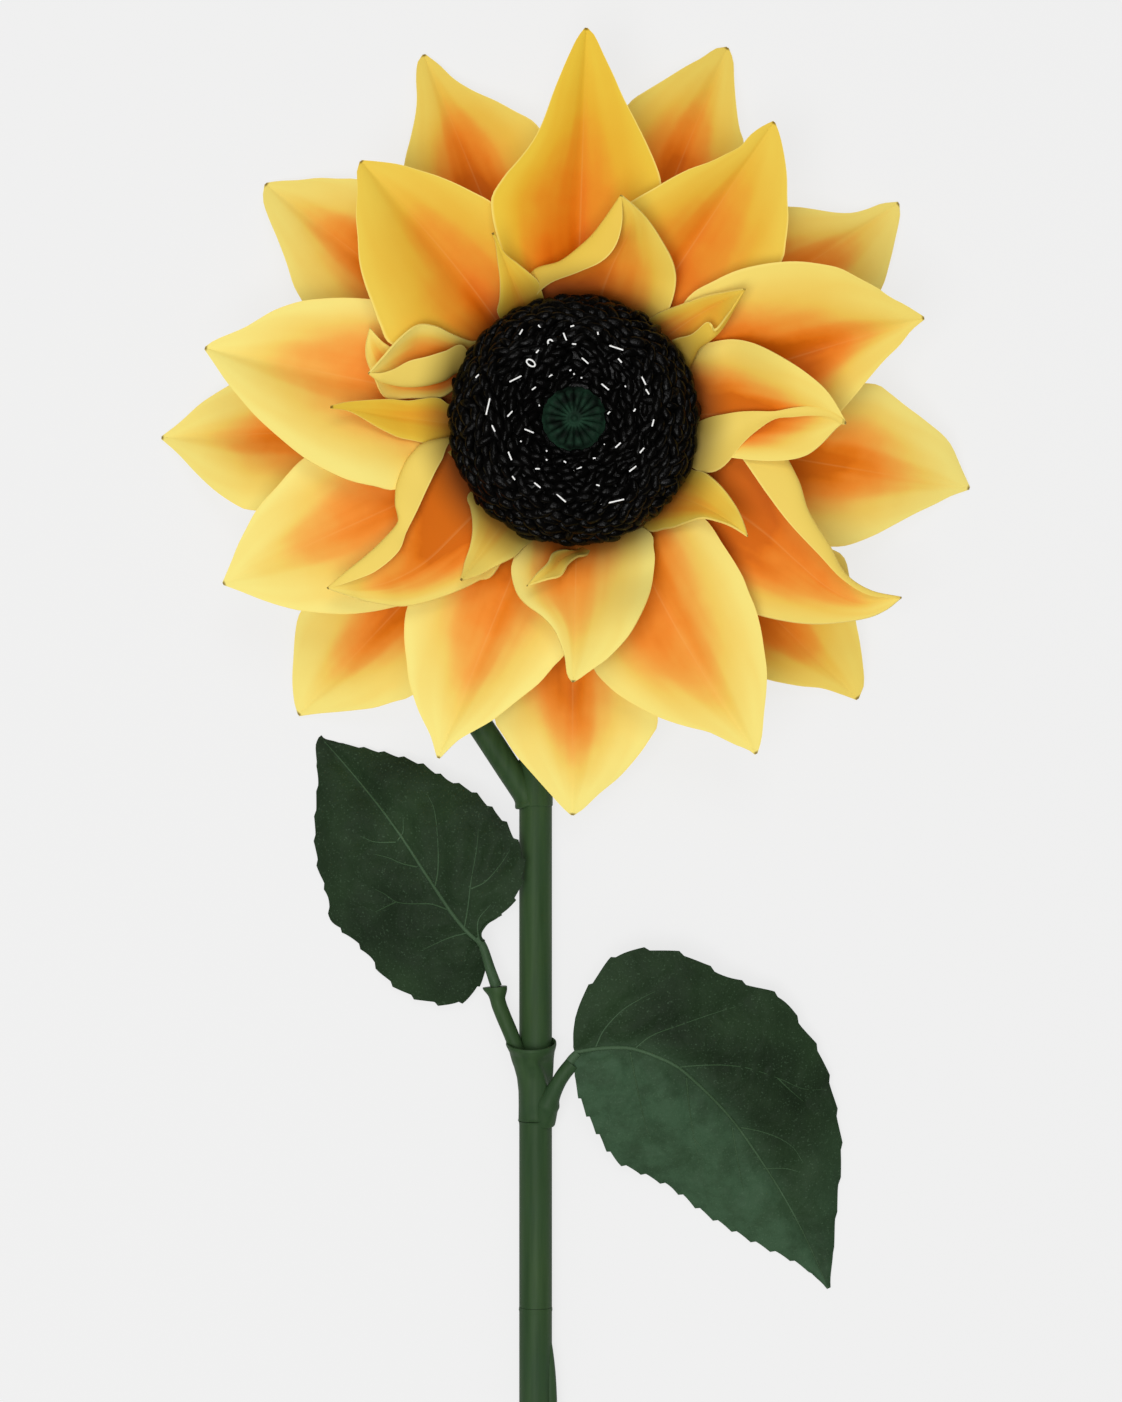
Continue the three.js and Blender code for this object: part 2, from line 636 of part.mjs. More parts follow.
function leafOutline(leaf, side, sign) {
  const midrib = leaf.midrib.map((point) => new THREE.Vector3(...point));
  const tip = midrib[midrib.length - 1];
  const across = (from, to) => new THREE.Vector3(from.y - to.y, to.x - from.x, 0).normalize();
  const atTip = across(midrib[midrib.length - 2], tip).multiplyScalar(sign * leafTipHalfWidth).add(tip);
  const atBase = across(midrib[0], midrib[1]).multiplyScalar(sign * leafBaseHalfWidth).add(midrib[0]);
  return curveThrough([atBase.toArray(), ...side, atTip.toArray()]);
}

function leafGrid(leaf) {
  const midrib = curveThrough(leaf.midrib);
  const outlines = { 1: leafOutline(leaf, leaf.left, 1), '-1': leafOutline(leaf, leaf.right, -1) };
  const shares = [0, 0.5, 0.85, 1];
  const columns = [...shares.slice(1).reverse().map((s) => -s), ...shares];
  const places = [];
  for (let tooth = 0; tooth < leafTeeth; tooth += 1) {
    places.push([tooth / leafTeeth, -toothNotch], [(tooth + 0.7) / leafTeeth, toothPoint]);
  }
  places.push([1, 0]);
  return places.map(([u, depth]) => {
    const middle = midrib.getPointAt(u);
    return columns.map((v) => {
      const edge = outlines[Math.sign(v) || 1].getPointAt(u);
      const out = new THREE.Vector3().subVectors(edge, middle).setZ(0).normalize();
      edge.addScaledVector(out, depth * smoothStep(0.05, 0.15, u));
      const share = Math.abs(v);
      const point = middle.clone().lerp(edge, share);
      point.z += leaf.arch * Math.sin(Math.PI * share) * Math.sin(Math.PI * u);
      return point;
    });
  });
}

function leafMesh(leaf) {
  const blade = sheetGeometry(leafGrid(leaf), leafSheet);
  const stalk = taperedTube(curveThrough(leaf.petiole), (t) => mix(3.4, 2.4, t), 4, 8);
  const rib = curveThrough(leaf.midrib.slice(0, -1));
  const ridge = taperedTube(rib, (t) => mix(2.2, 1, t), 8, 5);
  const mesh = new THREE.Mesh(joined([blade, stalk, ridge]), leafFabric);
  mesh.name = leaf.name;
  return mesh;
}

// ---------------------------------------------------------------- the whole flower

const bloom = new THREE.Group();
bloom.add(petalLayer(backLayer, backPetals));
bloom.add(petalLayer(middleLayer, middlePetals));
bloom.add(petalLayer(innerLayer, innerPetals));
bloom.add(seedHead(), rosette(), receptacle(), calyx());

const stem = new THREE.Group();
stem.add(stemNeck(), stemUpper(), leafNode(), stemMiddle(), stemLower(), stemWire());
stem.add(leafMesh(leftLeaf), leafMesh(rightLeaf));

const flower = new THREE.Group();
flower.add(bloom, stem);
const box = new THREE.Box3().setFromObject(flower);
flower.position.set(-(box.min.x + box.max.x) / 2, -(box.min.y + box.max.y) / 2, -box.min.z);

export default flower;
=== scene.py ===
import math
import random
from functools import partial

import bmesh
import bpy
from mathutils import Matrix, Vector
from mathutils.bvhtree import BVHTree


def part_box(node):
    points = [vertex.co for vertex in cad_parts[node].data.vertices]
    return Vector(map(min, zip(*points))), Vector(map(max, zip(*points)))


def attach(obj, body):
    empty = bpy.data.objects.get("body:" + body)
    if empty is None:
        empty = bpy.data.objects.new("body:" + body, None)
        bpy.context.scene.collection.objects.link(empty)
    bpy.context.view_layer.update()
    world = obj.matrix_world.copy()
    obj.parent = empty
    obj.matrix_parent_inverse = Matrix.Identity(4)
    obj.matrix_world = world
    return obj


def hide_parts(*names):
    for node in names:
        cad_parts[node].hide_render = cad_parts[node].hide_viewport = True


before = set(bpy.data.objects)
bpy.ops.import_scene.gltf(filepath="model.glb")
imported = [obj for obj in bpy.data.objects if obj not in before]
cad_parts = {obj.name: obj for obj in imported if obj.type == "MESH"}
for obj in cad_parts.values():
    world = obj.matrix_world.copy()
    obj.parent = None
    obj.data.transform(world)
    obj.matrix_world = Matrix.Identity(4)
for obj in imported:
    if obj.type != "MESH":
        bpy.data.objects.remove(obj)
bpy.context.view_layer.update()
mm = 0.001

# every place below is in millimetres from the middle of the bloom, on the table
coreLow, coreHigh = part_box("receptacle")
bloomAt = Vector(((coreLow[0] + coreHigh[0]) / 2, (coreLow[1] + coreHigh[1]) / 2, 0))
print("frame loaded, bloom at", [round(c, 4) for c in bloomAt])


def clamp(x):
    return min(1.0, max(0.0, x))


def ease(low, high, x):
    t = clamp((x - low) / (high - low))
    return t * t * (3 - 2 * t)


def mix(a, b, t):
    return a + (b - a) * t


def bendTo(a, b, leave, arrive, t):
    # from a to b, leaving a and arriving at b the given ways
    return (a * (2 * t**3 - 3 * t**2 + 1) + leave * (t**3 - 2 * t**2 + t)
            + b * (3 * t**2 - 2 * t**3) + arrive * (t**3 - t**2))


def curveAt(points, t):
    # a smooth curve through the points, 0 at the first and 1 at the last
    points = [Vector(p) for p in points]
    last = len(points) - 1
    k = min(int(clamp(t) * last), last - 1)
    a, b = points[k], points[k + 1]
    before = points[k - 1] if k > 0 else a * 2 - b
    after = points[k + 2] if k + 2 <= last else b * 2 - a
    return bendTo(a, b, (b - before) / 2, (after - a) / 2, clamp(t) * last - k)


def newPiece(name, bm, materials, replaced=(), flatAngle=40):
    # smooth faces, but sharp where two of them meet at more than flatAngle
    for face in bm.faces:
        face.smooth = True
    for edge in bm.edges:
        edge.smooth = edge.calc_face_angle(0) < math.radians(flatAngle)
    mesh = bpy.data.meshes.new(name)
    bm.transform(Matrix.Translation(bloomAt) @ Matrix.Scale(mm, 4))
    bm.to_mesh(mesh)
    bm.free()
    for material in materials:
        mesh.materials.append(material)
    piece = bpy.data.objects.new(name, mesh)
    bpy.context.scene.collection.objects.link(piece)
    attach(piece, "root")
    if replaced:
        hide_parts(*replaced)


def bendGrid(bm, columns, rows, pointAt, closed=False):
    # a flat grid whose points are moved to pointAt(across, along), both 0 to 1
    made = bmesh.ops.create_grid(bm, x_segments=columns, y_segments=rows, size=1)["verts"]
    for vert in made:
        vert.co = pointAt((vert.co.x + 1) / 2, (vert.co.y + 1) / 2)
    if closed:
        bmesh.ops.remove_doubles(bm, verts=made, dist=0.0005)
    return made


def thicken(bm, thickness):
    # a sheet gets half of its thickness on each side
    bm.normal_update()
    for vert, normal in [(v, v.normal.copy()) for v in bm.verts]:
        vert.co += normal * thickness / 2
    bmesh.ops.solidify(bm, geom=bm.faces[:], thickness=thickness)


def linear(colour):
    parts = [int(colour[i:i + 2], 16) / 255 for i in (1, 3, 5)]
    return [p / 12.92 if p <= 0.04045 else ((p + 0.055) / 1.055) ** 2.4 for p in parts] + [1]


def setInputs(node, inputs):
    # an input takes a value, a hex colour or a link from another node's output
    for key, value in inputs.items() if isinstance(inputs, dict) else enumerate(inputs):
        if isinstance(value, bpy.types.NodeSocket):
            node.id_data.links.new(value, node.inputs[key])
        else:
            node.inputs[key].default_value = linear(value) if isinstance(value, str) else value


def addNode(tree, kind, inputs=(), out=0, **settings):
    # adds a node with its settings and links, and gives one of its outputs
    node = tree.nodes.new("ShaderNode" + kind)
    for key, value in settings.items():
        setattr(node, key, value)
    setInputs(node, inputs)
    return node.outputs[out]


def newMaterial(name):
    material = bpy.data.materials.new(name)
    material.use_nodes = True
    return material, material.node_tree.nodes["Principled BSDF"], partial(addNode, material.node_tree)


# settings that many nodes share; a Mix of colours takes its share at 0 and its colours at 6 and 7,
# and a MapRange its value, the range it comes from and the range it goes to
colourMix = {"out": 2, "data_type": "RGBA"}
plus, times, unsigned = {"operation": "ADD"}, {"operation": "MULTIPLY"}, {"operation": "ABSOLUTE"}
eased = {"interpolation_type": "SMOOTHSTEP"}

petalLook = {
    # from the pale margin to the sprayed root
    "dye": [(0.0, "#f3e280"), (0.3, "#efcc62"), (0.52, "#efaa4a"), (0.74, "#ee8f30"),
            (0.9, "#e47c16"), (1.0, "#d66e08")],
    # the dark root colour is partly spray and partly painted shade, the golden multiplier is painted shade,
    # and the cut edge colour is a painted highlight
    "paintedShade": "#f3da7c", "crease": "#f6c878", "cut": "#f6de78", "root": "#2a1002", "wire": "#5a3a12",
    "back": "#efd873", "roughness": 0.55, "specular": 0.12,
}


def sprayedFoam():
    # EVA foam sheet, die-cut and heat-formed, with colour sprayed on its front: matte, with a weak
    # broad sheen, soft colour edges, painted shade and a painted highlight along the cut edges
    material, shader, add = newMaterial("sprayedFoamSheet")
    place = add("Attribute", out="Vector", attribute_name="petalPlace")
    spray = add("Attribute", out="Vector", attribute_name="petalSprayAndShade")
    across, along, front = add("SeparateXYZ", [place]).node.outputs
    # the last of these is painted shade: how much darker gold the petal is painted, as if it lay in less
    # light
    strength, held, paintedShade = add("SeparateXYZ", [spray]).node.outputs
    spot = add("TexCoord", out="Object")
    fromRib = add("Math", [across], **unsigned)

    # the spray was held by hand: each petal's patch lies a little to one side, and it wavers in
    # lengthwise streaks a few millimetres wide
    drift = add("TexNoise", {"Vector": spot, "Scale": 9.0, "Detail": 0.0})
    aside = add("MapRange", (drift, 0.3, 0.7, -0.1, 0.1), **eased)
    off = add("Math", [add("Math", (across, aside), **plus)], **unsigned)
    stretched = add("CombineXYZ", (add("Math", (across, 2.6), **times), along, drift))
    streaks = add("TexNoise", {"Vector": stretched, "Scale": 1.7, "Detail": 1.5})
    blotches = add("TexNoise", {"Vector": spot, "Scale": 45.0, "Detail": 3.0})
    waver = add("Math", (add("MapRange", (streaks, 0.25, 0.75, -0.1, 0.1), **eased),
                         add("MapRange", (blotches, 0.3, 0.7, -0.06, 0.06), **eased)), **plus)

    # strong from the root to where the spray was held, then fading, and narrower towards the tip
    lengthwise = add("MapRange", (along, held, 0.97, 1.0, 0.0))
    limit = add("MapRange", (along, 0.0, 1.0, 1.2, 0.62))
    inside = add("Math", (off, limit), operation="DIVIDE")
    sideways = add("MapRange", (inside, 0.04, 1.0, 1.0, 0.0), **eased)
    patch = add("Math", (add("Math", (lengthwise, sideways), **times), strength), **times)
    margin = add("Math", (fromRib, along), operation="MAXIMUM")
    ground = add("MapRange", (margin, 0.62, 0.97, 0.2, 0.0), **eased)
    nearRoot = add("MapRange", (along, 0.1, 0.45, 0.25, 0.0), **eased)
    rooting = add("Math", (nearRoot, sideways), **times)
    wavered = add("Math", (patch, add("Math", (waver, 0.94), **plus)), **times)
    patchy = add("Math", (wavered, add("Math", (waver, 0.25), **times)), **plus)
    dye = add("Math", (add("Math", (patchy, ground), **plus), rooting), use_clamp=True, **plus)
    ramp = add("ValToRGB", [dye])
    stops = ramp.node.color_ramp.elements
    while len(stops) < len(petalLook["dye"]):
        stops.new(0.5)
    for stop, (at, colour) in zip(stops, petalLook["dye"]):
        stop.position, stop.color = at, linear(colour)
    # painted shade: the yellow is multiplied towards a darker gold on petals that lie in less light
    shadeTinted = add("Mix", {0: paintedShade, 6: ramp, 7: petalLook["paintedShade"]}, blend_type="MULTIPLY", **colourMix)

    # the pressed crease along the middle shows a little paler, and the cut edge gets a painted highlight
    creaseLine = add("Math", (add("MapRange", (fromRib, 0.0, 0.018, 0.11, 0.0), **eased),
                              add("MapRange", (along, 0.5, 0.95, 1.0, 0.0), **eased)), **times)
    creased = add("Mix", {0: creaseLine, 6: shadeTinted, 7: petalLook["crease"]}, **colourMix)
    # painted highlight: the last few per cent of each half's width, up to the cut edge, are painted paler
    # as if catching light
    cutEdgeHighlight = add("MapRange", (fromRib, 0.965, 0.995, 0.0, 0.7), **eased)
    edgeHighlighted = add("Mix", {0: cutEdgeHighlight, 6: creased, 7: petalLook["cut"]}, **colourMix)

    # each root is sprayed dark brown where it goes under the seed head; this darkening is also painted
    # shade from the seed head over it
    centred = add("Mapping", {"Vector": spot, "Location": (-bloomAt.x, -bloomAt.y, 0)})
    flat = add("VectorMath", (centred, (1, 1, 0)), **times)
    fromMiddle = add("VectorMath", [flat], out="Value", operation="LENGTH")
    # partly spray and partly painted shade, darkest close to the seed head
    rootSprayShade = add("MapRange", (fromMiddle, 0.063, 0.092, 0.9, 0.0), **eased)
    rootSprayShaded = add("Mix", {0: rootSprayShade, 6: edgeHighlighted, 7: petalLook["root"]}, **colourMix)
    # the back gets the same painted shade
    backShadeTinted = add("Mix", {0: paintedShade, 6: petalLook["back"], 7: petalLook["paintedShade"]},
                     blend_type="MULTIPLY", **colourMix)
    backEdgeHighlighted = add("Mix", {0: cutEdgeHighlight, 6: backShadeTinted, 7: petalLook["cut"]}, **colourMix)
    backRootSprayShaded = add("Mix", {0: rootSprayShade, 6: backEdgeHighlighted, 7: petalLook["root"]}, **colourMix)
    colour = add("Mix", {0: front, 6: backRootSprayShaded, 7: rootSprayShaded}, **colourMix)

    # the wire's end shows as a small brown dot at the tip
    dot = add("Math", (add("MapRange", (along, 0.99, 0.997), **eased),
                       add("MapRange", (off, 0.5, 1.0, 0.8, 0.3), **eased)), **times)

    # foam pores are about 0.3 mm, drawn at 0.8 mm so that they show as a faint tooth
    pores = add("TexNoise", {"Vector": spot, "Scale": 1250.0, "Detail": 2.0})
    dents = add("TexNoise", {"Vector": spot, "Scale": 40.0, "Detail": 1.0})
    fine = add("Bump", {"Height": pores, "Strength": 0.1, "Distance": 0.0002})
    setInputs(shader, {
        "Base Color": add("Mix", {0: dot, 6: colour, 7: petalLook["wire"]}, **colourMix),
        "Normal": add("Bump", {"Height": dents, "Strength": 0.25, "Distance": 0.002, "Normal": fine}),
        "Roughness": petalLook["roughness"], "IOR": 1.45, "Specular IOR Level": petalLook["specular"]})
    return material


foamSheet = sprayedFoam()

# turn is the way a petal points in degrees, reach and tip its tip's distance and height, leave
# and arrive its midrib's slopes, skew and bow what bends the midrib aside. leftLift and rightLift
# are the degrees that a side rises by at the root and further out, and lift where along that
# changes. left and right list (how far along, half width in mm) from the root to the tip. A petal
# that folds over lies between rails instead, in mm from the middle of the bloom and above the
# table: one cut edge, its rib, the crest that it turns over at and its other cut edge, the lip,
# which is on the side named, and all of them end at the tip. spray is how strong the orange is
# and where along it starts to fade; the golden value is painted shade, darkening a less lit petal's yellow.

sheet = {"thickness": 1.3, "columns": 28, "foldColumns": 36, "rows": 52, "gap": 0.3, "sag": 0.25}

backLayer = {
    "rootRadius": 41, "rootHeight": 46, "tip": 0.75, "leave": -1.5, "arrive": -18, "bulge": 0.8,
    "leftLift": (11, 18), "rightLift": (1, 5), "lift": (0.05, 0.45), "spray": (1, 0.5),
    "hidden": [(0, 9), (0.15, 26), (0.3, 39), (0.45, 46), (0.55, 47)],
}
middleLayer = {
    "rootRadius": 33, "rootHeight": 55, "tip": 66, "leave": 3, "arrive": 2, "bulge": 0.8,
    "leftLift": (12, 22), "rightLift": (1, 6), "lift": (0.05, 0.45), "spray": (1.02, 0.25),
    "hidden": [(0, 9), (0.15, 28), (0.3, 42), (0.42, 47)],
}
innerLayer = {
    "rootRadius": 24, "rootHeight": 65, "tip": 98, "leave": 2, "arrive": 40, "bulge": 0.6,
    "leftLift": (0, 20), "rightLift": (8, 12), "lift": (0.45, 0.8), "spray": (0.45, 0.2),
    "hidden": [(0, 4), (0.2, 12), (0.35, 20)],
}

backPetals = {
    "back_petal_1": {
        "turn": 181, "paintedShade": 0.1, "reach": 235.5,
        "left": [(0.72, 44.3), (0.76, 40.6), (0.82, 32.7), (0.88, 22.4), (0.945, 9.8)],
        "right": [(0.7, 37), (0.8, 27.4), (0.845, 22.6), (0.88, 18.4), (0.945, 8.1)]},
    "back_petal_2": {
        "turn": 141.3, "paintedShade": 0.25, "reach": 225.5,
        "left": [(0.665, 39.8), (0.7, 37), (0.76, 30), (0.84, 21.7), (0.91, 15.1), (0.97, 8.1)],
        "right": [(0.7, 40), (0.78, 33.4), (0.82, 28.1), (0.875, 21.2), (0.92, 13.6), (0.97, 6.2)]},
    "back_petal_3": {
        "turn": 111.7, "paintedShade": 0.6, "reach": 231.3,
        "left": [(0.69, 33.3), (0.75, 25.9), (0.82, 17.9), (0.87, 13.5), (0.93, 9.7), (0.98, 5.2)],
        "right": [(0.66, 44.4), (0.725, 35.5), (0.775, 28.2), (0.83, 18.8), (0.89, 10.9), (0.95, 6.1)]},
    "back_petal_4": {
        "turn": 68.1, "paintedShade": 0.6, "reach": 235.9,
        "left": [(0.71, 39.2), (0.75, 34.7), (0.81, 27.2), (0.885, 18), (0.93, 11.8), (0.98, 5.9)],
        "right": [(0.65, 38), (0.75, 28.7), (0.775, 24.6), (0.845, 17.1), (0.915, 10.6), (0.97, 5.8)]},
    "back_petal_5": {
        "turn": 35, "paintedShade": 0.3, "reach": 226.8,
        "left": [(0.7, 30.7), (0.75, 23.6), (0.8, 16.1), (0.85, 10.3), (0.9, 7.2), (0.95, 5.2)],
        "right": [(0.7, 42), (0.795, 35.3), (0.86, 26.2), (0.92, 16.6), (0.98, 6.4)]},
    "back_petal_6": {
        "turn": 351.7, "paintedShade": 0.1, "reach": 228.7,
        "left": [(0.64, 48.8), (0.675, 46.1), (0.74, 39.9), (0.81, 33.7), (0.9, 24), (0.96, 10.2)],
        "right": [(0.63, 45.3), (0.715, 36.9), (0.77, 29.5), (0.84, 19.8), (0.9, 12.3), (0.945, 6.3)]},
    "back_petal_7": {
        "turn": 316.6, "paintedShade": 0.5, "reach": 223.4,
        "left": [(0.625, 52), (0.69, 46), (0.815, 30), (0.845, 26.7), (0.92, 17.2), (0.98, 8)],
        "right": [(0.65, 38), (0.76, 27), (0.795, 23), (0.84, 17.5), (0.89, 10.3), (0.95, 4.8)]},
    "back_petal_8": {
        "turn": 269.8, "paintedShade": 0, "reach": 219.2, "tip": 26, "arrive": -8,
        "left": [(0.7, 48.4), (0.74, 44.6), (0.79, 38.8), (0.87, 26.9), (0.925, 15.7), (0.98, 5.9)],
        "right": [(0.705, 44.2), (0.74, 40.2), (0.8, 33.4), (0.88, 21), (0.94, 11.4), (0.975, 5.7)]},
    "back_petal_9": {
        "turn": 226, "paintedShade": 0.1, "reach": 226.1,
        "left": [(0.705, 39.5), (0.74, 35.7), (0.8, 29.7), (0.85, 22.7), (0.9, 15.3), (0.95, 7.7)],
        "right": [(0.765, 39.5), (0.815, 34.2), (0.875, 25.4), (0.935, 16.1), (0.98, 6.8)]},
}
middlePetals = {
    "middle_petal_1": {
        "turn": 88.2, "paintedShade": 1, "spray": (0.82, 0.2), "reach": 219.2,
        "left": [(0.47, 50.6), (0.545, 43.9), (0.59, 37), (0.64, 30.1), (0.69, 24.9), (0.74, 21.3),
            (0.8, 17.7), (0.86, 13.6), (0.915, 9.5), (0.97, 4.8)],
        "right": [(0.45, 47), (0.555, 44.8), (0.6, 41.8), (0.66, 36.4), (0.73, 29.3), (0.795, 22.3),
            (0.86, 16.4), (0.92, 10.5), (0.98, 4.6)]},
    "middle_petal_2": {
        "turn": 56.3, "paintedShade": 0.85, "spray": (0.92, 0.22), "reach": 199.9, "tip": 70,
        "left": [(0.515, 42.1), (0.6, 35), (0.66, 30), (0.715, 24.6), (0.77, 17.6), (0.82, 12.6),
            (0.87, 8.1), (0.92, 7), (0.965, 4.2)],
        "right": [(0.5, 49), (0.645, 46.9), (0.685, 43.8), (0.76, 37.1), (0.81, 30.7), (0.88, 22.3),
            (0.945, 12.2), (0.985, 4.6)]},
    "middle_petal_3": {
        "turn": 16.5, "paintedShade": 0.4, "spray": (1.3, 0.45), "reach": 202.5, "tip": 70,
        "left": [(0.285, 48.6), (0.395, 53.3), (0.465, 54.7), (0.53, 54.2), (0.595, 52.6), (0.66, 49.7),
            (0.72, 45.3), (0.78, 39.7), (0.83, 31.5), (0.88, 23.1), (0.91, 16.6), (0.95, 10.2)],
        "right": [(0.5, 46), (0.6, 42), (0.67, 35.5), (0.72, 29.9), (0.775, 23.3), (0.84, 16.1),
            (0.9, 10.6), (0.95, 4.5)]},
    "middle_petal_4": {
        "turn": 331.8, "paintedShade": 0.4, "side": "left",
        "rails": {
            "tip": (181.4, -97.6, 72),
            "edge": [(24.6, -21.3, 56), (45.2, -59.5, 60), (64.5, -90.2, 65), (89.4, -102.5, 68),
                (111.5, -109.2, 70), (134.7, -112, 71), (159.6, -109.3, 71.5), (172.3, -104.6, 71.8)],
            "rib": [(29.1, -15.8, 56), (62.5, -32.7, 59), (86.9, -47.3, 61), (108, -62.9, 63),
                (124, -77.5, 65), (141, -92, 68), (157.5, -99.8, 70), (169.6, -99.3, 71)],
            "crest": [(33, -9.1, 57), (85.6, 9.8, 65), (107.6, -5.6, 70), (122.9, -30.7, 74),
                (129.4, -50.2, 76), (141, -69, 76), (149.9, -84.5, 75), (163.9, -93.8, 73.5)],
            "lip": [(31.3, -9.2, 58), (73.3, 1.3, 67), (89.2, -15.2, 73), (106.7, -40.3, 77),
                (119.3, -57, 79), (135.8, -74.6, 79), (148.1, -87.3, 77), (163.2, -96.1, 74.5)]}},
    "middle_petal_5": {
        "turn": 298.8, "paintedShade": 0.15, "reach": 210.1, "bow": -5,
        "left": [(0.265, 41.9), (0.37, 44.8), (0.49, 46.2), (0.56, 44.7), (0.615, 43.4), (0.68, 40.1),
            (0.74, 35.7), (0.8, 30.8), (0.85, 24.8), (0.91, 16), (0.97, 7.2)],
        "right": [(0.52, 52.2), (0.58, 50.2), (0.63, 46.7), (0.69, 40.6), (0.74, 34.8), (0.785, 28.3),
            (0.82, 22.6), (0.86, 15.7), (0.895, 11.7), (0.94, 6.9), (0.975, 2.5)]},
    "middle_petal_6": {
        "turn": 248, "paintedShade": 0, "reach": 201.1,
        "left": [(0.54, 44.1), (0.58, 41.3), (0.65, 37.2), (0.72, 30.4), (0.775, 25), (0.82, 20.4),
            (0.87, 13.5), (0.915, 7.4), (0.945, 4.7), (0.975, 2.6)],
        "right": [(0.575, 48.2), (0.62, 46.8), (0.68, 42.9), (0.74, 37.4), (0.8, 31.7), (0.845, 25.6),
            (0.88, 20.3), (0.91, 14.7), (0.94, 8.9), (0.98, 3.5)]},
    "middle_petal_7": {
        "turn": 204.7, "paintedShade": 0, "reach": 214.5, "leftLift": (12, 8),
        "left": [(0.515, 53.3), (0.565, 52.1), (0.625, 49.5), (0.7, 44.6), (0.765, 38.3), (0.82, 32.1),
            (0.87, 24.8), (0.915, 17), (0.96, 8.2)],
        "right": [(0.5, 49), (0.63, 44.7), (0.67, 41.9), (0.73, 36.8), (0.78, 33), (0.82, 29.1),
            (0.87, 22.1), (0.91, 16.2), (0.945, 10), (0.98, 4.1)]},
    "middle_petal_8": {
        "turn": 168.7, "paintedShade": 0.05, "spray": (0.92, 0.22), "reach": 208.6, "tip": 70,
        "left": [(0.32, 56.8), (0.4, 58.2), (0.48, 57.8), (0.56, 54.5), (0.63, 50.2), (0.72, 41.5),
            (0.8, 32.7), (0.855, 25), (0.91, 16.7), (0.965, 6.9)],
        "right": [(0.54, 45.2), (0.615, 42.9), (0.675, 40.1), (0.73, 36.8), (0.78, 32.1), (0.82, 27.2),
            (0.86, 20.6), (0.89, 15.8), (0.93, 10.9), (0.975, 5.4)]},
    "middle_petal_9": {
        "turn": 129.3, "paintedShade": 0.85, "spray": (0.82, 0.2), "reach": 186.1, "tip": 74, "bow": -4,
        "left": [(0.43, 56.6), (0.51, 54.7), (0.595, 50.3), (0.67, 46), (0.74, 40.2), (0.81, 31.2),
            (0.87, 23.5), (0.93, 13.2), (0.985, 5.2)],
        "right": [(0.5, 42), (0.6, 38), (0.65, 34.6), (0.7, 31.3), (0.77, 26), (0.83, 20.5), (0.895, 14.4),
            (0.95, 7.6)]},
}
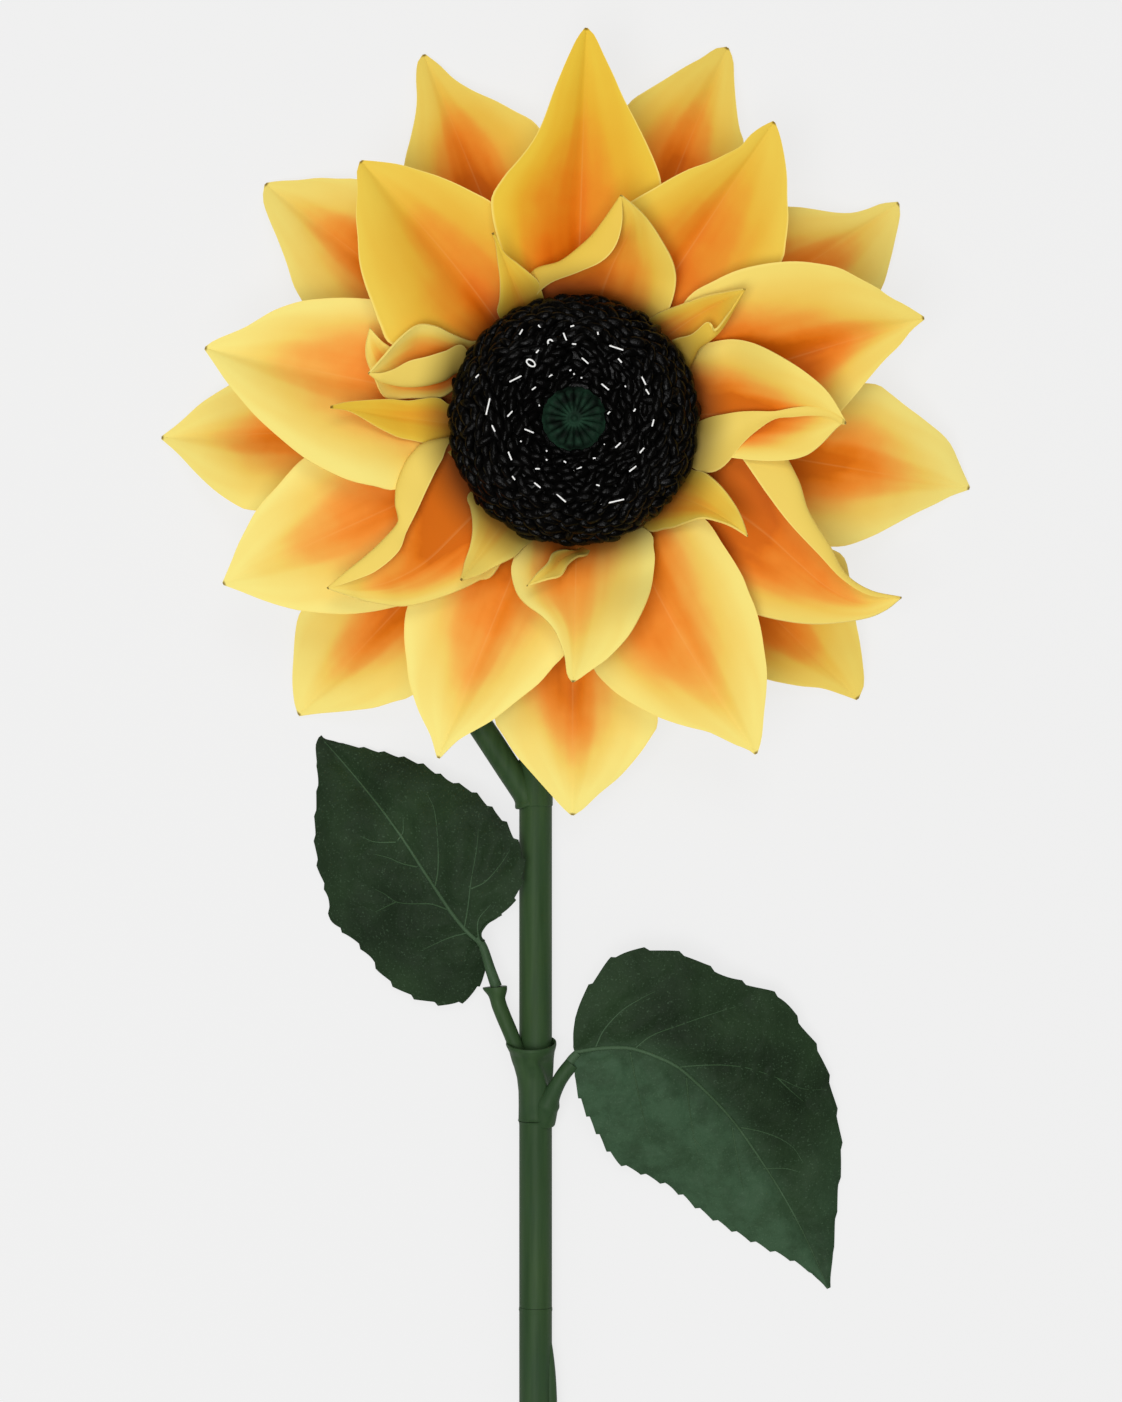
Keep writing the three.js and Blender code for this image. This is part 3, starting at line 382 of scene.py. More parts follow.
innerPetals = {
    "inner_petal_1": {
        "turn": 77.8, "paintedShade": 0.7, "side": "left", "spray": (0.8, 0.3),
        "rails": {
            "tip": (25.9, 121.2, 104),
            "edge": [(14.5, 26.4, 66), (42.2, 46.7, 68), (52.2, 61, 70), (56.4, 75.9, 75), (54.6, 87.4, 81),
                (47.8, 99.4, 87), (41.1, 108.6, 93), (34.4, 114.9, 99)],
            "rib": [(5.6, 24.7, 66), (10.1, 54, 67), (14.5, 67.6, 70), (17.7, 77.2, 74), (22.1, 87.7, 79),
                (26.4, 95.8, 85), (30.2, 103.8, 92), (30.6, 112.9, 98)],
            "crest": [(-4.4, 23.6, 66), (-24.4, 51.2, 68), (-27.1, 70.2, 72), (-22.1, 82.9, 77),
                (-7.7, 87.2, 83), (2.7, 94.2, 89), (10.4, 100.8, 94), (17.5, 109.5, 99)],
            "lip": [(-3.3, 24.6, 67), (-19.9, 50.9, 71), (-22.1, 65.9, 76), (-13.8, 75.2, 82),
                (2.2, 81, 89), (15.3, 86.5, 94), (22.9, 94.8, 98), (26.2, 106.9, 102)]}},
    "inner_petal_2": {
        "turn": 36.9, "paintedShade": 0.8, "side": "right",
        "rails": {
            "tip": (93.3, 70.7, 98),
            "edge": [(14.5, 20.8, 66), (32.2, 48.4, 68), (44.9, 59.2, 71), (58.6, 64.1, 77),
                (70.5, 67.8, 84), (80.2, 69.5, 89), (87.1, 70.3, 94)],
            "rib": [(19.5, 14.7, 66), (39.5, 35.7, 67), (52.2, 47.7, 70), (64.2, 56, 75), (73.9, 61.5, 81),
                (81.9, 65.3, 87), (88.3, 68, 93)],
            "crest": [(24.5, 9.7, 66), (54.4, 23.3, 70), (63.1, 29.5, 75), (68.4, 39.5, 80),
                (75.4, 44.5, 86), (81.3, 50.2, 90), (87.1, 59.6, 95)],
            "lip": [(23.4, 11.3, 67), (44.9, 29.7, 72), (53, 43.5, 79), (65, 47.3, 85), (73.5, 53.4, 91),
                (77.3, 48.8, 93), (84.3, 57.2, 97)]}},
    "inner_petal_3": {
        "turn": 359, "paintedShade": 0.35, "skew": 5, "reach": 148.8, "arrive": 16, "bow": 4,
        "spray": (1.4, 0.5), "rightLift": (-6, -14),
        "left": [(0.3, 37), (0.415, 40.7), (0.5, 42.2), (0.59, 39.9), (0.7, 33.6), (0.82, 25), (0.92, 15)],
        "right": [(0.5, 24), (0.65, 25), (0.77, 23.2), (0.845, 19.5), (0.9, 13.2), (0.975, 1.5)],
        "ruffle": [(0.3, -6, 3, -25, 4), (0.35, -5, 4, -30.5, 1), (0.42, -2, 5, -31.5, -2),
            (0.48, -0.5, 6, -27, -3), (0.55, 1.1, 6, -16.5, -1), (0.62, 1.8, 6, -8.5, 1.5),
            (0.7, 2.4, 5, -1.5, 3), (0.78, 5.1, 4.5, 0.4, 3), (0.85, 6.6, 3.5, 2, 2.5),
            (0.93, 5.4, 2.5, 2.4, 2), (0.99, 1.5, 1.4, -0.6, 1.2)]},
    "inner_petal_4": {
        "turn": 325.7, "paintedShade": 0.8, "side": "left",
        "rails": {
            "tip": (95.1, -64.4, 96),
            "edge": [(21.2, -18.1, 66), (36.7, -57.1, 69), (51.5, -59.2, 73), (61.9, -56.2, 78),
                (70.3, -53.9, 83), (78.6, -55.6, 87), (86.7, -58.9, 92)],
            "rib": [(24.5, -15.3, 66), (42.3, -34.8, 67), (54.4, -40.5, 70), (64.2, -44, 74),
                (72.3, -48.1, 79), (80.4, -52.9, 85), (87.8, -58.1, 91)],
            "lip": [(28.4, -9.7, 66), (56.1, -18.2, 68), (65.4, -26.2, 72), (72.6, -28.7, 77),
                (80.9, -36.2, 82), (88.1, -46.1, 87), (92.2, -54.8, 92)]}},
    "inner_petal_5": {
        "turn": 269.8, "paintedShade": 0.1, "skew": 6, "reach": 144.3, "arrive": 14,
        "spray": (1.1, 0.2), "rightLift": (0, 12),
        "left": [(0.295, 40.1), (0.38, 43.6), (0.43, 44.3), (0.555, 42.8), (0.63, 40.6), (0.72, 36.4),
            (0.8, 31.1), (0.86, 24.7), (0.915, 17.2), (0.95, 10.2), (0.98, 4.8)],
        "right": [(0.3, 31), (0.43, 34.8), (0.485, 36.3), (0.54, 35.5), (0.61, 32.5), (0.66, 27.4),
            (0.71, 18.4), (0.765, 11.7), (0.83, 7.6), (0.89, 5), (0.97, 3.4)]},
    "inner_petal_6": {
        "turn": 235, "paintedShade": 0.5, "reach": 107.9, "tip": 94, "leave": 6,
        "left": [(0.49, 20.1), (0.59, 17.7), (0.69, 16.4), (0.79, 12.3), (0.855, 9.4), (0.92, 6.6),
            (0.96, 3.7)],
        "right": [(0.5, 25), (0.55, 24.2), (0.58, 20.3), (0.64, 15.1), (0.72, 10.2), (0.81, 6.7),
            (0.89, 4.6), (0.95, 2.2)]},
    "inner_petal_7": {
        "turn": 214.4, "paintedShade": 0.35, "side": "right", "spray": (1, 0.25),
        "rails": {
            "tip": (-135.2, -93, 92),
            "edge": [(-14.4, -19.7, 66), (-41, -79.3, 72), (-53.1, -88.2, 75), (-65.8, -94.4, 78),
                (-79.5, -99.4, 80.5), (-93.2, -102.3, 82.5), (-104.1, -101.5, 85), (-116.6, -99.1, 86.5),
                (-125.8, -96.2, 89.5)],
            "rib": [(-19.9, -13.6, 66), (-49.9, -45.9, 70), (-65.9, -62.6, 73), (-78.1, -74.9, 76),
                (-87.9, -82.2, 79), (-96.6, -86.8, 81.5), (-104.8, -90.2, 84), (-116.1, -92.5, 85.5),
                (-125.8, -92.9, 89)],
            "crest": [(-23.3, -8.6, 66), (-74.2, -10, 73), (-89, -18.1, 78), (-96.6, -32.7, 80),
                (-98.1, -45.6, 83), (-96.3, -55.6, 85), (-103.4, -65, 87), (-113.8, -75, 89),
                (-124.7, -83.9, 90.5)],
            "lip": [(-22.1, -9.8, 67), (-63.1, -8.5, 75), (-73.4, -22.8, 81.5), (-80.4, -36.8, 84),
                (-86.4, -50.2, 87), (-92.4, -62.3, 88), (-96.7, -72.9, 90), (-108.7, -83.3, 91.3),
                (-121.9, -88.8, 91.8)]}},
    "inner_petal_8": {
        "turn": 177.3, "paintedShade": 0.95, "skew": 16, "reach": 133.3, "tip": 96, "leftLift": (8, 20),
        "left": [(0.25, 20), (0.325, 27.4), (0.37, 21.2), (0.41, 16.7), (0.465, 14), (0.59, 12.4),
            (0.66, 11.8), (0.72, 9.9), (0.785, 7), (0.85, 3.5), (0.91, 0.8), (0.96, 0.5)],
        "right": [(0.3, 8), (0.44, 10.8), (0.475, 13.1), (0.525, 13), (0.575, 11.5), (0.64, 9.7),
            (0.72, 9.3), (0.8, 7.8), (0.865, 6.2), (0.94, 3.9)]},
    "inner_petal_9": {
        "turn": 167.7, "paintedShade": 0.35, "side": "left", "spray": (0.8, 0.4),
        "rails": {
            "tip": (-112.1, 24.4, 102),
            "edge": [(-16, 19.1, 66), (-46.5, 42.8, 69), (-57.6, 44.7, 72), (-67.3, 47.9, 79),
                (-75.9, 51.4, 86), (-85.7, 51.8, 90), (-95.4, 44.3, 94), (-104, 34.1, 98)],
            "rib": [(-19.4, 14.1, 66), (-42.1, 27.9, 67), (-59.8, 33.3, 69), (-70.8, 33, 73),
                (-80.6, 32.5, 78), (-89.8, 32, 84), (-97.8, 29.3, 90), (-105.2, 26.6, 96)],
            "crest": [(-21, 10.3, 66), (-49.3, 16.6, 70), (-62.4, 27.2, 76), (-71.7, 22.3, 82),
                (-82, 19.1, 87), (-92.3, 18.2, 91), (-100.9, 19.3, 95), (-107.2, 21.1, 99)],
            "lip": [(-19.9, 11.3, 67), (-52, 25.1, 74), (-61.2, 41.2, 80), (-71, 37.8, 87),
                (-80.7, 34.3, 92), (-90.4, 31.5, 96), (-98.5, 26.9, 99), (-105.5, 24.5, 101)]},
        "behind": {
            "tip": (-112.3, 50.6, 86),
            "edge": [(-29.9, 15.3, 65), (-57.7, 21.3, 67), (-74.3, 13.6, 69), (-89.7, 13.1, 72),
                (-103.9, 12.9, 75), (-110.3, 24.1, 80), (-114.1, 33.2, 83), (-114.5, 41.3, 85)],
            "rib": [(-29.9, 19.2, 65), (-56.6, 28, 66), (-74.3, 23.4, 68), (-88.6, 22.1, 70.5),
                (-99.6, 25.1, 74), (-106, 31.3, 79), (-109.7, 37.7, 82.5), (-111.8, 43.5, 84.8)],
            "lip": [(-29.9, 23.7, 65), (-55.5, 34.7, 66), (-74.3, 33.4, 68), (-87.5, 33.1, 71),
                (-95.1, 36.1, 75), (-100.5, 40.2, 79), (-105.3, 43.2, 82.5), (-108.5, 46.3, 84.8)]}},
    "inner_petal_10": {
        "turn": 113.7, "paintedShade": 0.9, "reach": 110.4, "tip": 100,
        "left": [(0.3, 12), (0.56, 15), (0.62, 11.5), (0.73, 6.8), (0.845, 3.6), (0.955, 0.6)],
        "right": [(0.3, 10), (0.635, 13.1), (0.69, 11), (0.78, 6.5), (0.865, 2), (0.94, 1.2)]},
    "inner_petal_11": {
        "turn": 254.3, "paintedShade": 0.6, "side": "right",
        "rails": {
            "tip": (-25.8, -91.7, 100),
            "edge": [(8.9, -43.1, 66), (10, -62.7, 70), (8.3, -72.9, 76), (1.7, -75.3, 83),
                (-3.3, -79.4, 88), (-7.2, -85.8, 92), (-15.4, -88.2, 96.5)],
            "rib": [(5.6, -43.1, 66), (6.7, -62.6, 69), (4.5, -70.6, 75), (-1.6, -73.6, 80),
                (-7.7, -77.1, 85), (-12.1, -82.2, 90), (-18.1, -86.8, 95.5)],
            "lip": [(2.3, -43.1, 66), (3.4, -62.7, 70), (1.7, -71.5, 76), (-5, -71.2, 83),
                (-11.3, -73.3, 88), (-14.3, -79, 92), (-20.3, -84.9, 96.5)]}},
}


def midribAt(petal, u):
    rootTurn = math.radians(petal["turn"] + petal.get("skew", 0))
    turn = math.radians(petal["turn"])
    root = Vector((petal["rootRadius"] * math.cos(rootTurn), petal["rootRadius"] * math.sin(rootTurn),
                   petal["rootHeight"] + sheet["gap"] + sheet["thickness"] / 2))
    tip = Vector((petal["reach"] * math.cos(turn), petal["reach"] * math.sin(turn), petal["tip"]))
    way = Vector((tip.x - root.x, tip.y - root.y, 0))
    third = way.length / 3
    way.normalize()
    up = Vector((0, 0, 1))
    first = root + way * third + up * third * math.tan(math.radians(petal["leave"]))
    second = tip - way * third - up * third * math.tan(math.radians(petal["arrive"]))
    point = (root * (1 - u) ** 3 + first * 3 * u * (1 - u) ** 2 + second * 3 * u * u * (1 - u)
             + tip * u**3)
    return point + Vector((-way.y, way.x, 0)) * petal.get("bow", 0) * math.sin(math.pi * u)


def valueAt(pairs, u):
    # a smooth line through (place, value) pairs
    k = 0
    while k < len(pairs) - 2 and u > pairs[k + 1][0]:
        k += 1
    (a, low), (b, high) = pairs[k], pairs[k + 1]
    before, after = pairs[max(0, k - 1)], pairs[min(len(pairs) - 1, k + 2)]
    leave = (high - before[1]) / (b - before[0]) * (b - a)
    arrive = (after[1] - low) / (after[0] - a) * (b - a)
    return bendTo(low, high, leave, arrive, clamp((u - a) / (b - a)))


def wholeEdge(petal, side):
    # the part of an outline that the next layer hides is the same for all petals of a layer
    edge = petal[side]
    return [pair for pair in petal["hidden"] if pair[0] < edge[0][0] - 0.07] + edge + [(1, 0.8)]


def sectionAt(petal, side, edge, u, shares):
    # (out, up) of the points at the shares of one half's width
    wide = valueAt(edge, u)
    vee = mix(*petal[side + "Lift"], ease(*petal["lift"], u))
    steps = 56
    made, k, out, up = [], 0, 0.0, 0.0
    for i in range(steps + 1):
        while k < len(shares) and shares[k] * steps <= i + 1e-6:
            made.append((out, up))
            k += 1
        share = (i + 0.5) / steps
        lift = math.radians(vee * (1 + petal["bulge"] * (1 - 2 * share)) * ease(-0.02, 0.1, share))
        out += math.cos(lift) * wide / steps
        up += math.sin(lift) * wide / steps
    # the measured width is the one seen from above
    return [(o * wide / out, u * wide / out) for o, u in made]


def petalPoint(petal, u, out, up):
    along = (midribAt(petal, min(1, u + 0.01)) - midribAt(petal, max(0, u - 0.01))).normalized()
    across = Vector((-along.y, along.x, 0)).normalized()
    return midribAt(petal, u) + across * out + along.cross(across) * up


def petalLayers(bm):
    layers = bm.verts.layers.float_vector
    return layers["petalPlace"], layers["petalSprayAndShade"]


def ruffleStrip(bm, petal):
    # a second, narrower sheet that leaves the petal's ridge: (along, out, up, out, up) rows
    placeLayer, sprayShadeLayer = petalLayers(bm)
    points = [[(row[0], row[i]) for row in petal["ruffle"]] for i in (1, 2, 3, 4)]
    start, end = petal["ruffle"][0][0], petal["ruffle"][-1][0]
    for vert in bmesh.ops.create_grid(bm, x_segments=10, y_segments=36, size=1)["verts"]:
        share, u = (1 - vert.co.x) / 2, mix(start, end, (vert.co.y + 1) / 2)
        ridgeOut, ridgeUp, edgeOut, edgeUp = (valueAt(pairs, u) for pairs in points)
        bow = math.sin(math.pi * share) * abs(ridgeOut - edgeOut) * 0.12
        vert[placeLayer] = (-mix(0.35, 1, share), mix(u, 1, 0.4), 1)
        vert[sprayShadeLayer] = (*petal["spray"], petal["paintedShade"])
        vert.co = petalPoint(petal, u, mix(ridgeOut, edgeOut, share), mix(ridgeUp, edgeUp, share) + bow)


def railPoint(rails, share, u):
    # the sheet between its lines: cut edge, rib, then either a crest that the sheet turns over at
    # and its other cut edge above it, or that edge alone
    edge, rib, lip = (curveAt([*rails[line], rails["tip"]], u) for line in ("edge", "rib", "lip"))
    if share < 0.5:
        sag = Vector((0, 0, -(rib - edge).length * sheet["sag"]))
        return bendTo(edge, rib, rib - edge + sag, rib - edge, share * 2)
    if "crest" not in rails:
        sag = Vector((0, 0, (lip - rib).length * sheet["sag"]))
        return bendTo(rib, lip, lip - rib, lip - rib + sag, share * 2 - 1)
    crest = curveAt([*rails["crest"], rails["tip"]], u)
    if share < 0.75:
        flat = Vector((crest.x - rib.x, crest.y - rib.y, 0))
        rise = Vector((0, 0, 1.2 * (crest.z - rib.z) + 0.2 * flat.length))
        return bendTo(rib, crest, flat, rise, share * 4 - 2)
    flat = Vector((lip.x - crest.x, lip.y - crest.y, 0))
    rise = Vector((0, 0, 0.85 * flat.length))
    return bendTo(crest, lip, rise, flat - rise * 0.2, share * 4 - 3)


def petalSheet(bm, petal, columns, pointAt):
    # a grid from the right cut edge to the left one and from the root to the tip
    placeLayer, sprayShadeLayer = petalLayers(bm)
    rows = sheet["rows"]
    for vert in bmesh.ops.create_grid(bm, x_segments=columns, y_segments=rows, size=1)["verts"]:
        column, row = round((1 - vert.co.x) / 2 * columns), round((vert.co.y + 1) / 2 * rows)
        vert[placeLayer] = (2 * column / columns - 1, row / rows, 1)
        vert[sprayShadeLayer] = (*petal["spray"], petal["paintedShade"])
        vert.co = pointAt(column, row)


def foldedSheet(bm, petal, rails, turned):
    columns = sheet["foldColumns"]

    def foldPoint(column, row):
        share = column / columns
        return railPoint(rails, 1 - share if turned else share, row / sheet["rows"])

    petalSheet(bm, petal, columns, foldPoint)


def openSheet(bm, petal):
    half = sheet["columns"] // 2
    shares = [i / half for i in range(half + 1)]
    edges = {side: wholeEdge(petal, side) for side in ("right", "left")}
    lines = []
    for row in range(sheet["rows"] + 1):
        u, line = row / sheet["rows"], []
        for sign, side in ((-1, "right"), (1, "left")):
            points = [petalPoint(petal, u, sign * out, up)
                      for out, up in sectionAt(petal, side, edges[side], u, shares)]
            line += points[:0:-1] if sign < 0 else points
        lines.append(line)
    petalSheet(bm, petal, sheet["columns"], lambda column, row: lines[row][column])


def petalPiece(name, petal):
    bm = bmesh.new()
    for layer in ("petalPlace", "petalSprayAndShade"):
        bm.verts.layers.float_vector.new(layer)
    if "rails" in petal:
        foldedSheet(bm, petal, petal["rails"], petal["side"] == "right")
    else:
        openSheet(bm, petal)
    if "behind" in petal:
        foldedSheet(bm, petal, petal["behind"], True)
    if "ruffle" in petal:
        ruffleStrip(bm, petal)
    front = set(bm.verts)
    thicken(bm, sheet["thickness"])
    placeLayer = petalLayers(bm)[0]
    for vert in bm.verts:
        if vert not in front:
            vert[placeLayer] = (vert[placeLayer].x, vert[placeLayer].y, 0)
    newPiece(name + "_foam", bm, [foamSheet], [name], flatAngle=50)


for layer, petals in ((backLayer, backPetals), (middleLayer, middlePetals), (innerLayer, innerPetals)):
    for name, own in petals.items():
        petalPiece(name, {**layer, **own})
print("petals made")

# (distance from the middle, height) from the hollow over the top to the foot, and then underneath
headProfile = [(18.5, 94.9), (24, 97.6), (33, 101.0), (42, 101.6), (52, 99.0), (60.5, 93.4),
               (66, 86.5), (67, 80.5)]
headUnder = [(61, 77.5), (44, 74.8), (24, 72.4), (0.01, 72.4)]
scaleSizes = {
    "count": 500, "length": 13, "width": 6.2, "height": 4.8, "grow": (0.8, 1.15), "spiral": 137.508,
    # turn and tilt vary by so many degrees, and the others between two bounds
    "turn": 30, "tilt": 13, "size": (0.8, 1.2), "tall": (0.8, 1.25), "outward": (-0.9, 0.4),
    "pinch": (0.15, 0.45), "seed": 11,
}


def castBlack():
    # glossy black PVC cast over a crumpled form: deep black with many small sharp glints
    material, shader, add = newMaterial("castBlackPvc")
    spot = add("TexCoord", out="Object")
    # wrinkles about 1.5 mm apart
    wrinkles = add("TexNoise", {"Vector": spot, "Scale": 650.0, "Detail": 3.0, "Distortion": 0.6})
    cloud = add("TexNoise", {"Vector": spot, "Scale": 90.0, "Detail": 2.0})
    setInputs(shader, {
        "Base Color": add("Mix", {0: cloud, 6: "#020202", 7: "#090807"}, **colourMix),
        "Normal": add("Bump", {"Height": wrinkles, "Strength": 0.45, "Distance": 0.0008}),
        "Roughness": 0.22, "Specular IOR Level": 0.09})
    return material


blackScales = castBlack()


def headAt(share):
    # (place, outward way) on the seed head's upper side, 0 at the hollow and 1 at its foot
    points = [(r, 0, z) for r, z in headProfile]
    here = curveAt(points, share)
    way = (curveAt(points, min(1, share + 0.01)) - curveAt(points, max(0, share - 0.01))).normalized()
    return here, Vector((-way.z, 0, way.x))


def seedCushion():
    bm = bmesh.new()
    places = [(0.01, 94.9)] + [(p.x, p.z) for p in (headAt(k / 24)[0] for k in range(25))] + headUnder
    verts = [bm.verts.new((r, 0, z)) for r, z in places]
    edges = [bm.edges.new(pair) for pair in zip(verts, verts[1:])]
    bmesh.ops.spin(bm, geom=verts + edges, cent=(0, 0, 0), axis=(0, 0, 1), angle=math.tau, steps=64,
                   use_merge=True)
    bmesh.ops.remove_doubles(bm, verts=bm.verts[:], dist=0.02)
    bmesh.ops.recalc_face_normals(bm, faces=bm.faces[:])
    newPiece("seed_cushion", bm, [blackScales], ["seed_head"], flatAngle=60)


def seedScales():
    # overlapping seed scales, laid in a spiral and lying mostly round the middle
    chance = random.Random(scaleSizes["seed"])
    bm = bmesh.new()
    scaleMesh = bpy.data.meshes.new("oneScale")
    shares = [k / 200 for k in range(201)]
    areas = [0.0]
    for a, b in zip(shares, shares[1:]):
        first, second = headAt(a)[0], headAt(b)[0]
        areas.append(areas[-1] + (second - first).length * (first.x + second.x))
    k = 0
    for index in range(scaleSizes["count"]):
        target = (index + 0.5) / scaleSizes["count"] * areas[-1]
        while areas[k + 1] < target:
            k += 1
        share = (k + (target - areas[k]) / (areas[k + 1] - areas[k])) / 200
        here, outward = headAt(share)
        grow = mix(*scaleSizes["grow"], share) * chance.uniform(*scaleSizes["size"])
        size = Matrix.Diagonal((scaleSizes["length"] / 2 * grow, scaleSizes["width"] / 2 * grow,
                                scaleSizes["height"] / 2 * chance.uniform(*scaleSizes["tall"]), 1))
        # the scale's long side starts out lying round the middle, along +Y
        steer = 90 + chance.gauss(0, scaleSizes["turn"])
        lean = Matrix.Rotation(math.radians(chance.gauss(0, scaleSizes["tilt"])), 4, "Y")
        lay = Matrix.Rotation(math.radians(steer), 4, "Z")
        face = Vector((0, 0, 1)).rotation_difference(outward).to_matrix().to_4x4()
        spin = Matrix.Rotation(math.radians(index * scaleSizes["spiral"]), 4, "Z")
        place = Matrix.Translation(here + outward * chance.uniform(*scaleSizes["outward"]))
        # each scale is shaped in a small mesh of its own, because that is quicker
        one = bmesh.new()
        bmesh.ops.create_uvsphere(one, u_segments=8, v_segments=6, radius=1)
        pinch = chance.uniform(*scaleSizes["pinch"])
        for vert in one.verts:
            x, y, z = vert.co
            # one end narrower and the top folded along a soft ridge
            vert.co = (x, y * (1 - pinch * x), z + 0.25 * (1 - abs(y)) - 0.3 * x * x)
        one.transform(spin @ place @ face @ lay @ lean @ size)
        one.to_mesh(scaleMesh)
        one.free()
        bm.from_mesh(scaleMesh)
    bpy.data.meshes.remove(scaleMesh)
    newPiece("seed_scales", bm, [blackScales], (), flatAngle=75)


seedCushion()
seedScales()

# x, y, the way it points in degrees and its length, of each white straw
straws = [
    (-29, 47, 60, 3.4), (-1, 50, 16, 2.2), (-5, 44, -68, 4.6), (0, 40, -5, 2.3), (13, 46, -80, 1.7),
    (23, 38, -18, 8.0), (-20, 36, 49, 2.3), (6, 31, -41, 4.9), (25, 31, -48, 3.0), (-32, 21, 27, 7.4),
    (-13, 23, 28, 2.6), (-22, 16, 38, 2.8), (-2, 26, 35, 1.2), (0, 24, -72, 0.8), (4, 22, 34, 0.8),
    (17, 17, -40, 5.3), (28, 17, -72, 0.8), (38, 20, -63, 5.0), (40, 14, -57, 3.4), (-47, 6, -103, 9.3),
    (-35, 2, 47, 4.1), (-19, 7, -74, 0.8), (-44, -6, -64, 3.9), (-25, -7, -22, 6.3), (-29, -13, -39, 0.8),
    (19, 3, 47, 2.2), (33, 4, 54, 1.9), (43, -3, -105, 4.0), (-35, -21, -68, 5.0), (-15, -18, -51, 0.8),
    (-15, -23, -51, 0.8), (-20, -28, -2, 2.6), (-5, -24, -33, 1.7), (2, -28, 26, 4.9), (16, -15, 50, 2.4),
    (24, -15, 43, 4.1), (37, -18, 49, 3.7), (11, -22, 4, 1.6), (32, -28, 38, 4.9), (-33, -33, -54, 2.7),
    (-20, -37, -39, 4.5), (13, -37, -15, 2.0), (-7, -44, -41, 6.7), (21, -46, 13, 13.0),
    (-53, 23, 45, 2.6), (-19, 50, -51, 2.0),
]
strawSizes = {"radius": 0.45, "above": 3.1, "shortest": 1.0}
# one straw is tied in a small loop and one is bent to a hook
bentStraws = [{"at": (-23.6, 29.7), "across": 2.6, "tall": 1.5, "turn": -35, "share": 1.0},
              {"at": (-13, 41), "across": 1.3, "tall": 1.4, "turn": 20, "share": 0.55}]


def headHeight(radius):
    # height of the seed head's upper side at a distance from its middle
    low, high = 0.0, 0.8
    for _ in range(20):
        middle = (low + high) / 2
        low, high = (middle, high) if headAt(middle)[0].x < radius else (low, middle)
    return headAt(low)[0].z


def whiteStraws():
    # cut nylon thread, smooth and slightly glossy
    material, shader, add = newMaterial("whiteNylonStraw")
    grain = add("TexNoise", {"Vector": add("TexCoord", out="Object"), "Scale": 400.0, "Detail": 1.0})
    setInputs(shader, {"Base Color": add("Mix", {0: grain, 6: "#e9e9e4", 7: "#ffffff"}, **colourMix),
                       "Roughness": 0.35})
    radius, above = strawSizes["radius"], strawSizes["above"]
    bm = bmesh.new()
    for x, y, way, length in straws:
        depth = max(length, strawSizes["shortest"])
        verts = bmesh.ops.create_cone(bm, cap_ends=True, segments=8, radius1=radius, radius2=radius,
                                      depth=depth)["verts"]
        ends = {e for v in verts for e in v.link_edges if abs(sum(p.co.z for p in e.verts)) > depth * 0.9}
        bevelled = bmesh.ops.bevel(bm, geom=list(ends), offset=0.2, affect="EDGES", segments=2,
                                   profile=0.5, material=-1)
        verts = list({v for f in bevelled["faces"] for v in f.verts} | {v for v in verts if v.is_valid})
        height = headHeight(math.hypot(x, y)) + above
        lay = Matrix.Rotation(math.radians(way), 4, "Z") @ Matrix.Rotation(math.pi / 2, 4, "Y")
        bmesh.ops.transform(bm, matrix=Matrix.Translation((x, y, height)) @ lay, verts=verts)
    for bend in bentStraws:
        def ringPoint(a, b):
            angle, tube = math.tau * b * bend["share"], math.tau * a
            out = Vector((bend["across"] * math.cos(angle), bend["tall"] * math.sin(angle), 0))
            out.rotate(Matrix.Rotation(math.radians(bend["turn"]), 3, "Z"))
            rim = out * (1 + 0.5 * math.cos(tube) / out.length)
            height = headHeight(math.hypot(*bend["at"])) + above
            return Vector((*bend["at"], height)) + rim + Vector((0, 0, 0.5 * math.sin(tube)))

        bendGrid(bm, 8, 24, ringPoint, closed=True)
    bmesh.ops.recalc_face_normals(bm, faces=bm.faces[:])
    newPiece("white_straws", bm, [material], (), flatAngle=60)


whiteStraws()

# pleats fan out from a small raised button in the middle
rosetteSizes = {"pleats": 18, "stepsPerPleat": 10, "radius": 17.5, "floor": 95.3}


